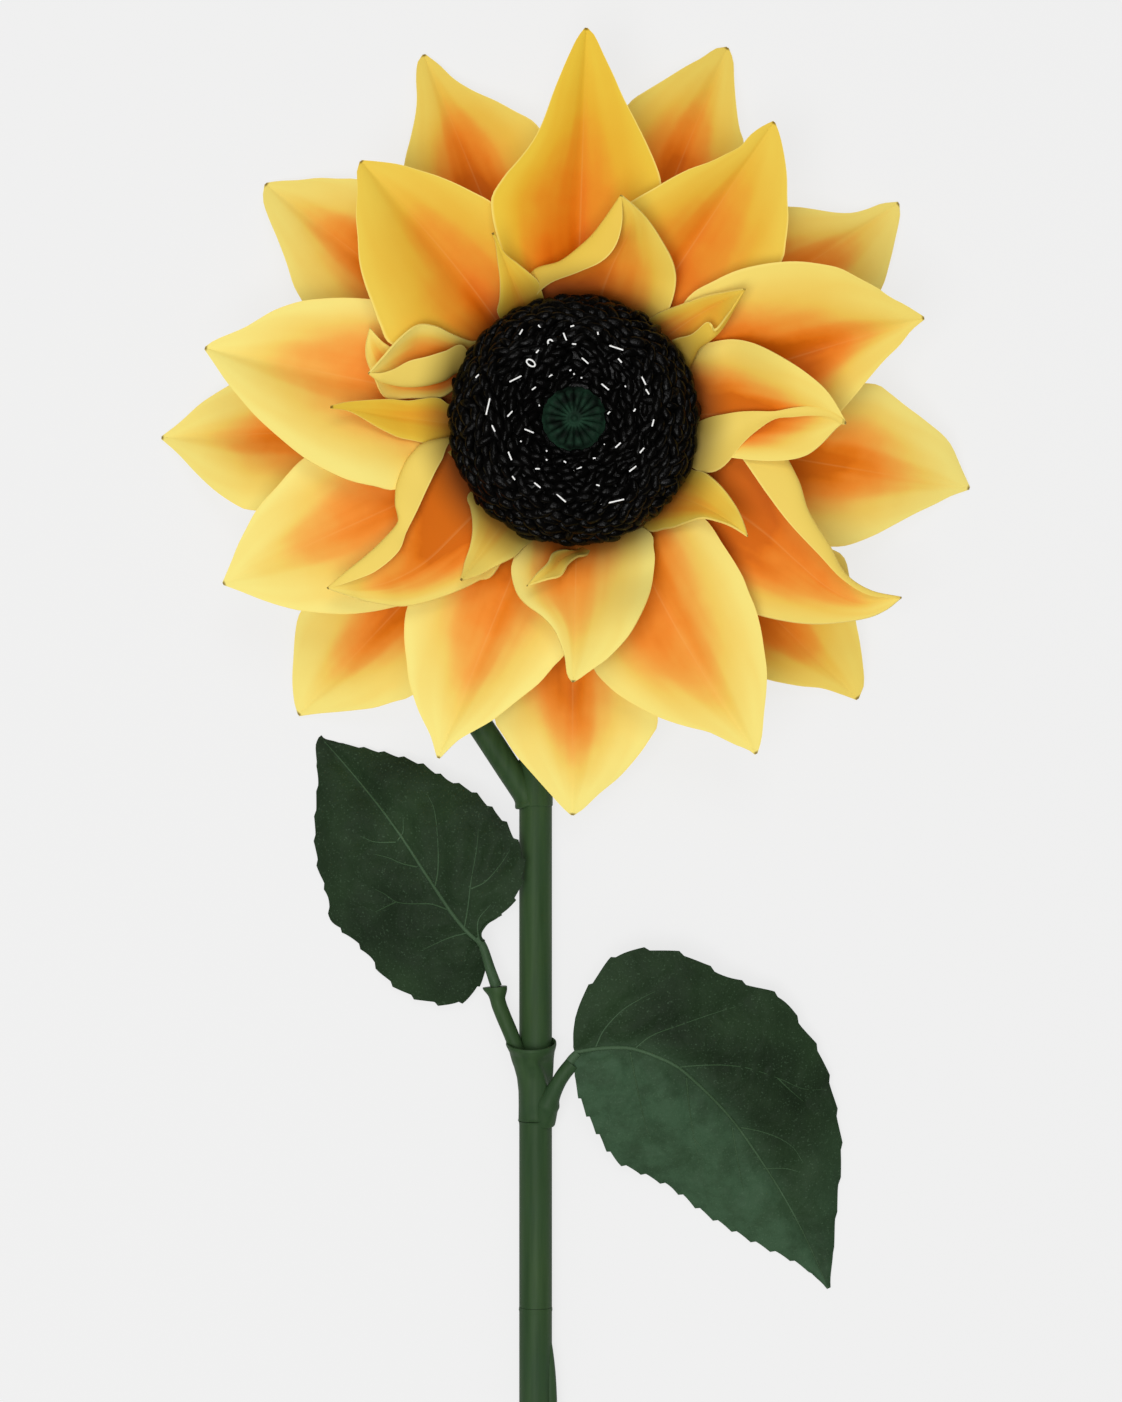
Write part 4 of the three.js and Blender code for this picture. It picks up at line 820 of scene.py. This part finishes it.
def greenRosette():
    # dyed polyester satin, heat-pleated: dark green with a soft woven tooth and a low sheen
    material, shader, add = newMaterial("pleatedGreenSatin")
    spot = add("TexCoord", out="Object")
    weave = add("TexNoise", {"Vector": spot, "Scale": 900.0, "Detail": 2.0})
    cloud = add("MapRange", (add("TexNoise", {"Vector": spot, "Scale": 160.0, "Detail": 2.0}), 0.35, 0.7))
    setInputs(shader, {
        "Base Color": add("Mix", {0: cloud, 6: "#07120b", 7: "#1a3626"}, **colourMix),
        "Normal": add("Bump", {"Height": weave, "Strength": 0.5, "Distance": 0.0006}),
        "Roughness": 0.75, "Specular IOR Level": 0.12})

    def rosettePoint(a, b):
        turn = math.tau * a
        radius = rosetteSizes["radius"] * b
        pleat = abs(math.cos(rosetteSizes["pleats"] * turn / 2)) ** 0.55
        amount = ease(0.16, 0.4, b)
        bowl = mix(1.8, 4.4, ease(0.15, 0.62, b)) * (1 - ease(0.8, 1.03, b)) + 0.2
        button = 2.2 * (1 - ease(0.05, 0.14, b)) + 0.5 * ease(0.16, 0.2, b) * (1 - ease(0.22, 0.27, b))
        height = rosetteSizes["floor"] + bowl * mix(1, 0.45 + 0.55 * pleat, amount) + button
        radius *= 1 + 0.035 * (pleat - 0.6) * ease(0.7, 1, b)
        return Vector((radius * math.cos(turn), radius * math.sin(turn), height))

    bm = bmesh.new()
    columns = rosetteSizes["pleats"] * rosetteSizes["stepsPerPleat"]
    bendGrid(bm, columns, 30, rosettePoint, closed=True)
    bmesh.ops.remove_doubles(bm, verts=bm.verts[:], dist=0.01)
    bmesh.ops.holes_fill(bm, edges=[e for e in bm.edges if e.is_boundary], sides=0)
    bmesh.ops.recalc_face_normals(bm, faces=bm.faces[:])
    newPiece("green_rosette", bm, [material], ["rosette"], flatAngle=80)


greenRosette()
print("seed head made")

# the stem is moulded over a wire in lengths, with a joint that both leaf stalks grow from

stemSizes = {"radius": 9.35, "aside": -21.5, "sides": 40}


def mouldedGreen():
    # soft PVC moulded over wire, satin: lengthwise draw marks, whose light and dark streaks also stand in
    # for painted sheen bands, and slightly uneven green
    material, shader, add = newMaterial("mouldedSoftPvc")
    spot = add("TexCoord", out="Object")
    drawn = add("Mapping", {"Vector": spot, "Scale": (1, 0.06, 1)})
    # draw marks 3 mm wide and about 50 mm long; their colour streaks are partly painted reflection of the
    # moulded flats
    drawMarksAndSheen = add("TexNoise", {"Vector": drawn, "Scale": 210.0, "Detail": 3.0})
    lines = add("MapRange", (drawMarksAndSheen, 0.3, 0.7))
    lengthwise = add("Mix", {0: lines, 6: "#2a4222", 7: "#38502e"}, **colourMix)
    cloud = add("TexNoise", {"Vector": spot, "Scale": 22.0, "Detail": 3.0})
    uneven = add("MapRange", (cloud, 0.35, 0.75, 0.0, 0.5))
    grit = add("TexNoise", {"Vector": spot, "Scale": 700.0, "Detail": 2.0})
    fine = add("Bump", {"Height": grit, "Strength": 0.15, "Distance": 0.0003})
    setInputs(shader, {
        "Base Color": add("Mix", {0: uneven, 6: lengthwise, 7: "#2b4430"}, **colourMix),
        "Normal": add("Bump", {"Height": drawMarksAndSheen, "Strength": 0.35, "Distance": 0.001, "Normal": fine}),
        "Roughness": 0.55, "IOR": 1.47, "Specular IOR Level": 0.16})
    return material


mouldedPvc = mouldedGreen()


def tubeAlong(bm, points, radiusAt, sides, steps, shapeAt=None):
    # a closed tube; radiusAt(along) gives its radius and shapeAt(turn, along) widens it in places
    centres = [curveAt(points, k / steps) for k in range(steps + 1)]
    normal, frames = Vector((0, -0.05, 0)), []
    for k in range(steps + 1):
        way = (centres[min(k + 1, steps)] - centres[max(k - 1, 0)]).normalized()
        normal = normal + Vector((0, 0, 1))
        normal = (normal - way * normal.dot(way)).normalized()
        frames.append((centres[k], normal, way.cross(normal)))

    def tubePoint(a, b):
        centre, up, aside = frames[round(b * steps)]
        turn = math.tau * a
        radius = radiusAt(b) + (shapeAt(turn, b) if shapeAt else 0)
        return centre + up * radius * math.cos(turn) + aside * radius * math.sin(turn)

    made = bendGrid(bm, sides, steps, tubePoint, closed=True)
    edges = {e for v in made if v.is_valid for e in v.link_edges if e.is_boundary}
    bmesh.ops.holes_fill(bm, edges=list(edges), sides=0)


def stemTube(bm, points, steps, wider=lambda along: 0):
    def radiusAt(along):
        return stemSizes["radius"] + wider(along)

    def softFlats(turn, along):
        # three very soft flats, as a drawn stem has
        return 0.22 * math.cos(3 * turn + 0.6)

    tubeAlong(bm, points, radiusAt, stemSizes["sides"], steps, softFlats)


def finishStem(name, bm, node):
    bmesh.ops.recalc_face_normals(bm, faces=bm.faces[:])
    newPiece(name, bm, [mouldedPvc], [node], flatAngle=45)


def stemAcross(y):
    return stemSizes["aside"] * ease(-20, -150, y)


# the stem lies on the table, so its axis is this high
axis = stemSizes["radius"] + 0.05
aside = stemSizes["aside"]


def stemLine(*places, rise=0):
    return [(aside, y, axis + rise) for y in places]


neckBm = bmesh.new()
neckPoints = [(0, 0, 35.7), (0, 0, 32.5), (0, 0, 29.3), (0, -2.9, 18), (0, -10, 12.2),
              (0, -24, axis + 0.2)]
neckPoints += [(stemAcross(y), y, axis) for y in (-50, -85, -120, -150, -188)]
stemTube(neckBm, neckPoints, 80)
finishStem("stem_neck_tube", neckBm, "stem_neck")

upperBm = bmesh.new()
stemTube(upperBm, stemLine(-188.2, -210, -240, -300, -356), 120)
# the shoot leaves from a sleeve whose lower edge shows as a seam
stemTube(upperBm, stemLine(-188.4, -195, -205, -214.5, rise=0.2), 60,
         lambda b: 0.45 - 0.3 * ease(0.98, 1, b))
shootPoints = [(-24.6, -214.5, axis), (-26.5, -209.5, axis + 0.3), (-31, -202.3, 10.8),
               (-37.4, -192.6, 13), (-47.5, -177, 16), (-58, -161, 19)]
tubeAlong(upperBm, shootPoints,
          lambda b: mix(8.9, 7.6, ease(0.05, 0.3, b)) - 2.4 * (1 - ease(0, 0.06, b)) ** 2, 48, 60,
          lambda turn, b: 0.3 * math.cos(2 * turn))
finishStem("stem_upper_tube", upperBm, "stem_upper")

# the lowest length carries a raised ridge, and each length starts with a thin ring
lowerBm = bmesh.new()
stemTube(lowerBm, stemLine(-500.2, -520, -560, -610, -665), 60,
         lambda b: 0.5 * math.exp(-((b - 0.01) / 0.008) ** 2))
tubeAlong(lowerBm, [(aside + out, y, 11) for out, y in ((6, -508), (8, -540), (8.6, -580), (8, -620))],
          lambda b: 0.6 + 3.2 * math.sin(math.pi * b) ** 0.7, 16, 30)
finishStem("stem_lower_tube", lowerBm, "stem_lower")

middleBm = bmesh.new()
stemTube(middleBm, stemLine(-394.2, -410, -450, -480, -500), 60,
         lambda b: 0.45 * math.exp(-(b / 0.012) ** 2))
finishStem("stem_middle_tube", middleBm, "stem_middle")

# the joint's cup is rings from inside its mouth, over the lip and down to the seam: (how far down,
# radius, how far aside it leans)
cupRings = [(6, 9.6, 0), (3.5, 11.2, -1.6), (0.8, 12.6, -2.4), (-0.6, 13.7, -2.6), (-0.4, 14.3, -2.6),
            (0.9, 14.4, -2.6), (2.4, 13.9, -2.4), (5, 12.9, -2.1), (9, 12.0, -1.7), (14, 11.1, -1.0),
            (20, 10.3, -0.5), (28, 9.9, 0), (36, 9.8, 0), (43.6, 9.9, 0), (44.6, 10.2, 0), (45, 9.3, 0)]


def cupPoint(a, b):
    spot = b * (len(cupRings) - 1)
    k = min(int(spot), len(cupRings) - 2)
    down, radius, lean = (mix(p, q, spot - k) for p, q in zip(cupRings[k], cupRings[k + 1]))
    turn = math.tau * a
    mouth = 1 - ease(2, 16, down)
    # the mouth looks a little towards the bloom's face, so its front lip is lower
    y = -349 - down - 3.6 * math.cos(turn) * mouth
    # a sheath's edge stands proud on the left of the front, and the right of it is hollowed
    edge = 0.05 + 0.75 * ease(2, 30, down)
    along = ease(3, 12, down) * (1 - ease(34, 42, down))
    signed = math.atan2(math.sin(turn - edge), math.cos(turn - edge))
    radius += along * (0.6 * ease(0.12, -0.12, signed) * ease(-2.2, -1.5, signed)
                       - 1.3 * ease(0, 0.3, signed) * (1 - ease(0.5, 1.1, signed)))
    height = max(axis, radius) + radius * math.cos(turn)
    return Vector((aside + lean + radius * math.sin(turn), y, height))


nodeBm = bmesh.new()
bendGrid(nodeBm, 64, 60, cupPoint, closed=True)
tubeAlong(nodeBm, [(-30.5, -358, 14), (-32.5, -352, 14.4), (-36, -343, 15), (-40.2, -333, 15.4),
                   (-43, -325, 15.6), (-43.7, -317, 15.8)],
          lambda b: mix(4.2, 4.4, b) + 1.5 * ease(0.8, 0.97, b), 24, 40,
          lambda turn, b: 2.2 * ease(0.86, 1, b) * math.exp(-((math.sin(turn / 2 - 2.35)) / 0.25) ** 2))
tubeAlong(nodeBm, [(-17.5, -394, 12), (-15.5, -386, 15.5), (-13.2, -380, 18), (-9.5, -372.5, 21),
                   (-5.6, -366, 22.4), (-0.8, -360, 23)],
          lambda b: mix(7.2, 4.2, ease(0, 0.7, b)) + 0.9 * math.exp(-((b - 0.3) / 0.08) ** 2), 24, 40)
finishStem("leaf_joint", nodeBm, "leaf_node")
print("stem made")

# each blade spans from its midrib to its two outlines, with teeth cut along them

leafSizes = {
    "thickness": 1.2, "columns": 44, "teeth": 17, "toothRows": 7, "toothOut": 1.1, "toothIn": 0.8,
    "relief": 3.0, "reliefWidth": 6.5, "arch": 3,
    # radii at the start and the end
    "petiole": (3.3, 2.2), "rib": (1.35, 0.25), "vein": (0.5, 0.15),
}

leftLeaf = {
    "petiole": [(-43.9, -317, 15.6), (-47.4, -307, 16), (-51.2, -295, 17), (-54.8, -288.5, 18.3)],
    "midrib": [(-52.5, -292.5, 18.5), (-64.4, -281.4, 20.5), (-80.4, -258.4, 20.5), (-96.6, -233.8, 17),
        (-111.1, -214.4, 11), (-129.1, -193, 4.5), (-145, -175, 1.2)],
    "left": [(-49.8, -299.5, 14.5), (-50.4, -308.5, 11), (-55.8, -319.4, 9), (-64.8, -326.7, 7.5),
        (-75.7, -327.6, 6), (-88, -324.9, 5), (-98.8, -319.8, 4), (-109.5, -310.7, 3), (-117, -300, 2),
        (-129.3, -288, 1.4), (-138.4, -280.5, 1.2), (-140.4, -266.2, 1.2), (-145.4, -251.9, 1.2),
        (-147.7, -234.2, 1.2), (-147.3, -216.4, 1.2), (-146, -200, 1.2), (-147, -188, 1.2),
        (-147.4, -180, 1.2)],
    "right": [(-52, -290.2, 20.5), (-52.5, -285.7, 21), (-48.5, -280.5, 22), (-42.8, -277.1, 23),
        (-37.2, -272.5, 24), (-33.2, -266.8, 25), (-30.4, -260.5, 26), (-28.6, -253.7, 26.5),
        (-28.1, -246.3, 26.5), (-29.8, -238.4, 26), (-33.8, -231.1, 25), (-39.4, -222.6, 24),
        (-45.1, -217, 22.5), (-50.8, -211.4, 21), (-57.1, -206.3, 19), (-63.4, -203, 17), (-72.5, -199, 15),
        (-80, -194.5, 12.5), (-88.6, -190, 10), (-99, -186.6, 8), (-110.5, -183.8, 5.5),
        (-124.9, -180.7, 3), (-136.4, -178.1, 1.6), (-142.2, -176.7, 1.3)],
    "veins": [
        [(-62, -283), (-60, -272), (-58, -256), (-55, -239), (-54, -227)],
        [(-58, -261), (-50, -257), (-42, -248), (-36, -239)],
        [(-79, -261), (-77, -251), (-77, -235), (-79, -217), (-83, -208)],
        [(-100, -234), (-97, -229), (-97, -221)],
        [(-54, -290), (-54, -279), (-47, -270)],
        [(-59, -286), (-70, -289), (-79, -293), (-87, -297)],
        [(-72, -273), (-81, -270), (-92, -270), (-101, -269), (-107, -265), (-113, -262)],
        [(-101, -269), (-107, -272), (-113, -275)],
        [(-89, -249), (-98, -247), (-105, -244), (-113, -242)],
        [(-101, -235), (-113, -235), (-121, -232)]],
}
rightLeaf = {
    # painted light: across the blade, where the paler painted half begins and where it is full
    "paintedLight": (-0.25, 0.3),
    "petiole": [(-3.5, -363, 22.5), (-1.2, -358, 23.4), (2.5, -353.6, 24.6)],
    "midrib": [(0.5, -353.5, 24.5), (16, -351.2, 27), (31, -351, 28), (46, -355.5, 28), (61, -363.5, 27),
        (88, -390, 21), (114, -427.5, 12.5), (131, -458, 5.5), (146, -490.5, 1.2)],
    "left": [(0.1, -339.2, 27.5), (3.6, -325.1, 28), (13.5, -309.2, 28), (23.9, -298.6, 27.5),
        (38, -295.1, 27), (54.2, -296.1, 26), (66.4, -299.8, 25), (87.9, -311.4, 21), (116.5, -322.3, 16),
        (129.2, -338.7, 12), (140.1, -355.1, 8.5), (147.5, -376.7, 5.5), (152.9, -409, 3),
        (151.2, -434.3, 2), (149.6, -452.1, 1.5), (148.4, -470, 1.2), (147, -484, 1.2)],
    "right": [(0.5, -364, 24), (3, -378.5, 21), (11.6, -396.8, 14), (24, -416, 8), (40, -424.6, 5),
        (56.5, -433, 2.5), (74.6, -447, 1.4), (92.4, -458, 1.2), (108.4, -466.5, 1.2), (127, -475.5, 1.2),
        (140, -485.5, 1.2)],
    "veins": [
        [(12, -352), (17, -341), (27, -330), (38, -323), (46, -319)],
        [(34, -352), (44, -344), (60, -338), (78, -332), (96, -327)],
        [(59, -362), (71, -361), (85, -361), (99, -363), (116, -369), (132, -376), (144, -376)],
        [(116, -369), (122, -375), (131, -383)],
        [(95, -397), (105, -399), (116, -403), (125, -409), (131, -418)],
        [(108, -421), (120, -421), (128, -423)],
        [(32, -353), (35, -369), (38, -383), (41, -396), (45, -406)],
        [(64, -368), (65, -380), (67, -394), (69, -406), (72, -421)],
        [(68, -403), (74, -410)],
        [(90, -396), (93, -414), (97, -434)]],
}


def leafGreen(name, base, light, roughness, paintedLight=None):
    # polyester leaf cloth, pressed and dyed: matte dark green with a fine pale speckle
    material, shader, add = newMaterial(name)
    spot = add("TexCoord", out="Object")
    cloud = add("TexNoise", {"Vector": spot, "Scale": 28.0, "Detail": 4.0})
    tone = add("Mix", {0: add("MapRange", (cloud, 0.35, 0.7)), 6: base, 7: light}, **colourMix)
    if paintedLight:
        # painted light: one half of a blade, the one turned to the light, is painted paler
        half = add("Attribute", out="Fac", attribute_name="paintedLitHalf")
        patches = add("TexNoise", {"Vector": spot, "Scale": 60.0, "Detail": 5.0, "Roughness": 0.65})
        uneven = add("MapRange", (patches, 0.38, 0.6, 0.55, 1.1))
        tone = add("Mix", {0: add("Math", (half, uneven), **times), 6: tone, 7: paintedLight}, **colourMix)
    # speckles are 0.5 mm, drawn at 1 mm so that they show
    speckle = add("TexNoise", {"Vector": spot, "Scale": 900.0, "Detail": 1.0})
    dots = add("MapRange", (speckle, 0.62, 0.75, 0.0, 0.35))
    # threads about 0.5 mm apart
    threads = add("TexNoise", {"Vector": spot, "Scale": 1600.0, "Detail": 2.0})
    puckers = add("TexNoise", {"Vector": spot, "Scale": 75.0, "Detail": 3.0})
    fine = add("Bump", {"Height": threads, "Strength": 0.3, "Distance": 0.0002})
    setInputs(shader, {
        "Base Color": add("Mix", {0: dots, 6: tone, 7: "#50684f"}, **colourMix),
        "Normal": add("Bump", {"Height": puckers, "Strength": 0.7, "Distance": 0.004, "Normal": fine}),
        "Roughness": roughness, "Specular IOR Level": 0.12})
    return material


# the last colour is the painted light on the lit half
leafCloth = leafGreen("pressedLeafCloth", "#1a2917", "#263a22", 0.62, "#38523a")
veinGreen = leafGreen("pressedLeafVein", "#33492f", "#445c42", 0.5)


def evenly(points, count):
    # the curve's points at even distances along it
    dense = [curveAt(points, k / 400) for k in range(401)]
    lengths = [0.0]
    for a, b in zip(dense, dense[1:]):
        lengths.append(lengths[-1] + (b - a).length)
    made, k = [], 0
    for i in range(count + 1):
        target = i / count * lengths[-1]
        while k < 399 and lengths[k + 1] < target:
            k += 1
        made.append(dense[k].lerp(dense[k + 1], (target - lengths[k]) / (lengths[k + 1] - lengths[k])))
    return made


def leafPiece(name, leaf, node):
    rows = leafSizes["teeth"] * leafSizes["toothRows"]
    columns = leafSizes["columns"]
    thickness = leafSizes["thickness"]
    midrib = evenly(leaf["midrib"], rows)
    ribs = [Vector(p) for p in leaf["midrib"]]

    def besideRib(a, b, sign, distance):
        # a place beside rib point a, square to the rib between points a and b
        way = ribs[b] - ribs[a] if a == 0 else ribs[a] - ribs[b]
        return ribs[a] + Vector((-way.y, way.x, 0)).normalized() * sign * distance

    edges = [evenly([besideRib(0, 1, sign, 3), *leaf[side], besideRib(-1, -2, sign, 1.1)], rows)
             for side, sign in (("right", -1), ("left", 1))]
    veins = [[curveAt([(x, y, 0) for x, y in vein], k / 12) for k in range(13)] for vein in leaf["veins"]]

    def nearVein(point):
        return min(math.hypot(point.x - q.x, point.y - q.y) for vein in veins for q in vein)

    lines = []
    for row in range(rows + 1):
        u, line = row / rows, []
        tooth = u * leafSizes["teeth"] % 1
        # each tooth swells towards the tip and ends in a sudden step
        depth = mix(-leafSizes["toothIn"], leafSizes["toothOut"], (1.165 * tooth) ** 1.5)
        depth *= ease(0.03, 0.12, u) * (1 - ease(0.84, 1, u))
        for column in range(columns + 1):
            v = column / columns * 2 - 1
            share = abs(v)
            edge = edges[1 if v > 0 else 0][row]
            out = edge - midrib[row]
            out.z = 0
            out = out.normalized() if out.length > 0 else Vector((1, 0, 0))
            point = midrib[row].lerp(edge, share) + out * depth * ease(0.88, 1, share)
            point.z += leafSizes["arch"] * math.sin(math.pi * share) * math.sin(math.pi * u)
            # the cloth puffs up between its veins and dips along them
            fromRib = share * (edge - midrib[row]).length
            dip = sum(math.exp(-(d / leafSizes["reliefWidth"]) ** 2) for d in (nearVein(point), fromRib))
            fading = (1 - ease(0.85, 1, share)) * ease(0, 0.06, u) * (1 - ease(0.9, 1, u))
            point.z -= leafSizes["relief"] * min(1, dip) * fading
            line.append(point)
        lines.append(line)
    bm = bmesh.new()
    paintedLightLayer = bm.verts.layers.float.new("paintedLitHalf")
    for vert in bmesh.ops.create_grid(bm, x_segments=columns, y_segments=rows, size=1)["verts"]:
        row, column = round((vert.co.y + 1) / 2 * rows), round((1 - vert.co.x) / 2 * columns)
        # painted light: the half of the blade turned to the light, and the part towards the tip, are
        # painted paler
        if "paintedLight" in leaf:
            paintedLight = ease(*leaf["paintedLight"], 1 - 2 * column / columns)
            vert[paintedLightLayer] = max(paintedLight, 0.5 * ease(0.6, 0.95, row / rows))
        vert.co = lines[row][column]
    bm.normal_update()
    top = BVHTree.FromBMesh(bm)
    thicken(bm, thickness)
    blade = len(bm.faces)

    def onLeaf(point):
        hit = top.ray_cast(Vector((point.x, point.y, 60)), Vector((0, 0, -1)))[0]
        return Vector((point.x, point.y, (hit.z if hit else point.z) + thickness / 2))

    for vein in leaf["veins"]:
        points = [onLeaf(curveAt([(x, y, 5) for x, y in vein], k / 10)) for k in range(11)]
        tubeAlong(bm, points, lambda b: mix(*leafSizes["vein"], b), 8, 30)
    tubeAlong(bm, [onLeaf(midrib[round(k / 14 * (rows - 3))]) for k in range(15)],
              lambda b: mix(*leafSizes["rib"], b), 10, 60)
    tubeAlong(bm, leaf["petiole"], lambda b: mix(*leafSizes["petiole"], b), 20, 24)
    bmesh.ops.recalc_face_normals(bm, faces=bm.faces[:])
    bm.faces.ensure_lookup_table()
    for index in range(blade, len(bm.faces)):
        bm.faces[index].material_index = 1
    newPiece(name, bm, [leafCloth, veinGreen], [node], flatAngle=50)


leafPiece("left_leaf_cloth", leftLeaf, "left_leaf")
leafPiece("right_leaf_cloth", rightLeaf, "right_leaf")
print("leaves made")


def drawnWire():
    # zinc-coated steel wire, drawn: grey with fine lengthwise lines
    material, shader, add = newMaterial("drawnSteelWire")
    drawn = add("Mapping", {"Vector": add("TexCoord", out="Object"), "Scale": (1, 0.05, 1)})
    lines = add("TexNoise", {"Vector": drawn, "Scale": 2500.0, "Detail": 2.0})
    setInputs(shader, {"Base Color": add("Mix", {0: lines, 6: "#8b8d8f", 7: "#b4b6b8"}, **colourMix),
                       "Metallic": 1.0, "Roughness": 0.35})
    return material


wireLook = drawnWire()
for node, look in (("receptacle", mouldedPvc), ("calyx", mouldedPvc), ("stem_wire", wireLook)):
    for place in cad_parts[node].material_slots:
        place.material = look
print("solids dressed")

# seen from straight above, in mm from the middle of the bloom
view = {"height": 2229, "x": -7.157, "y": -154.698, "lens": 100}
cameraData = bpy.data.cameras.new("overhead")
cameraData.lens = view["lens"]
cameraData.sensor_width = 36
cameraData.clip_end = 20
camera = bpy.data.objects.new("overhead", cameraData)
camera.location = bloomAt + Vector((view["x"], view["y"], view["height"])) * mm
bpy.context.scene.collection.objects.link(camera)
bpy.context.scene.camera = camera

tableTop = {"size": 8.0, "colour": "#5c5c5c", "light": "#f4f4f4", "glow": 0.84}


def paleTable():
    # painted board, plain and matte; it glows a little, as a lit backdrop does
    material, shader, _ = newMaterial("paleTable")
    setInputs(shader, {"Base Color": tableTop["colour"], "Roughness": 0.9, "Specular IOR Level": 0.1,
                       "Emission Color": tableTop["light"], "Emission Strength": tableTop["glow"]})
    return material


tableBm = bmesh.new()
bmesh.ops.create_grid(tableBm, x_segments=8, y_segments=8, size=tableTop["size"] / 2)
tableMesh = bpy.data.meshes.new("table")
tableBm.to_mesh(tableMesh)
tableBm.free()
tableMesh.materials.append(paleTable())
table = bpy.data.objects.new("table", tableMesh)
bpy.context.scene.collection.objects.link(table)


# both panels look at a place just above the bloom's middle; sizes are in metres, power in watts
softLights = {"keyPanel": {"place": (-0.5, -0.5, 2.7), "size": 1.3, "power": 43},
              "topPanel": {"place": (0.2, 1.5, 2.9), "size": 1.2, "power": 18}}
for name, soft in softLights.items():
    panel = bpy.data.lights.new(name, "AREA")
    panel.size = soft["size"]
    panel.energy = soft["power"]
    light = bpy.data.objects.new(name, panel)
    light.location = soft["place"]
    light.rotation_euler = (Vector((0, 0.1, 0)) - light.location).to_track_quat("-Z", "Y").to_euler()
    bpy.context.scene.collection.objects.link(light)

# a white room whose walls are dim in reflections, as they are beyond the panels
room = {"colour": "#f4f4f4", "strength": 0.43, "inReflections": 0.05}
world = bpy.data.worlds.new("studio")
bpy.context.scene.world = world
world.use_nodes = True
mirrored = addNode(world.node_tree, "LightPath", out="Is Glossy Ray")
dimmed = addNode(world.node_tree, "MapRange",
                 (mirrored, 0.0, 1.0, room["strength"], room["inReflections"]))
setInputs(world.node_tree.nodes["Background"], {"Color": room["colour"], "Strength": dimmed})
bpy.context.scene.view_settings.view_transform = "Standard"
print("camera, table and light ready")
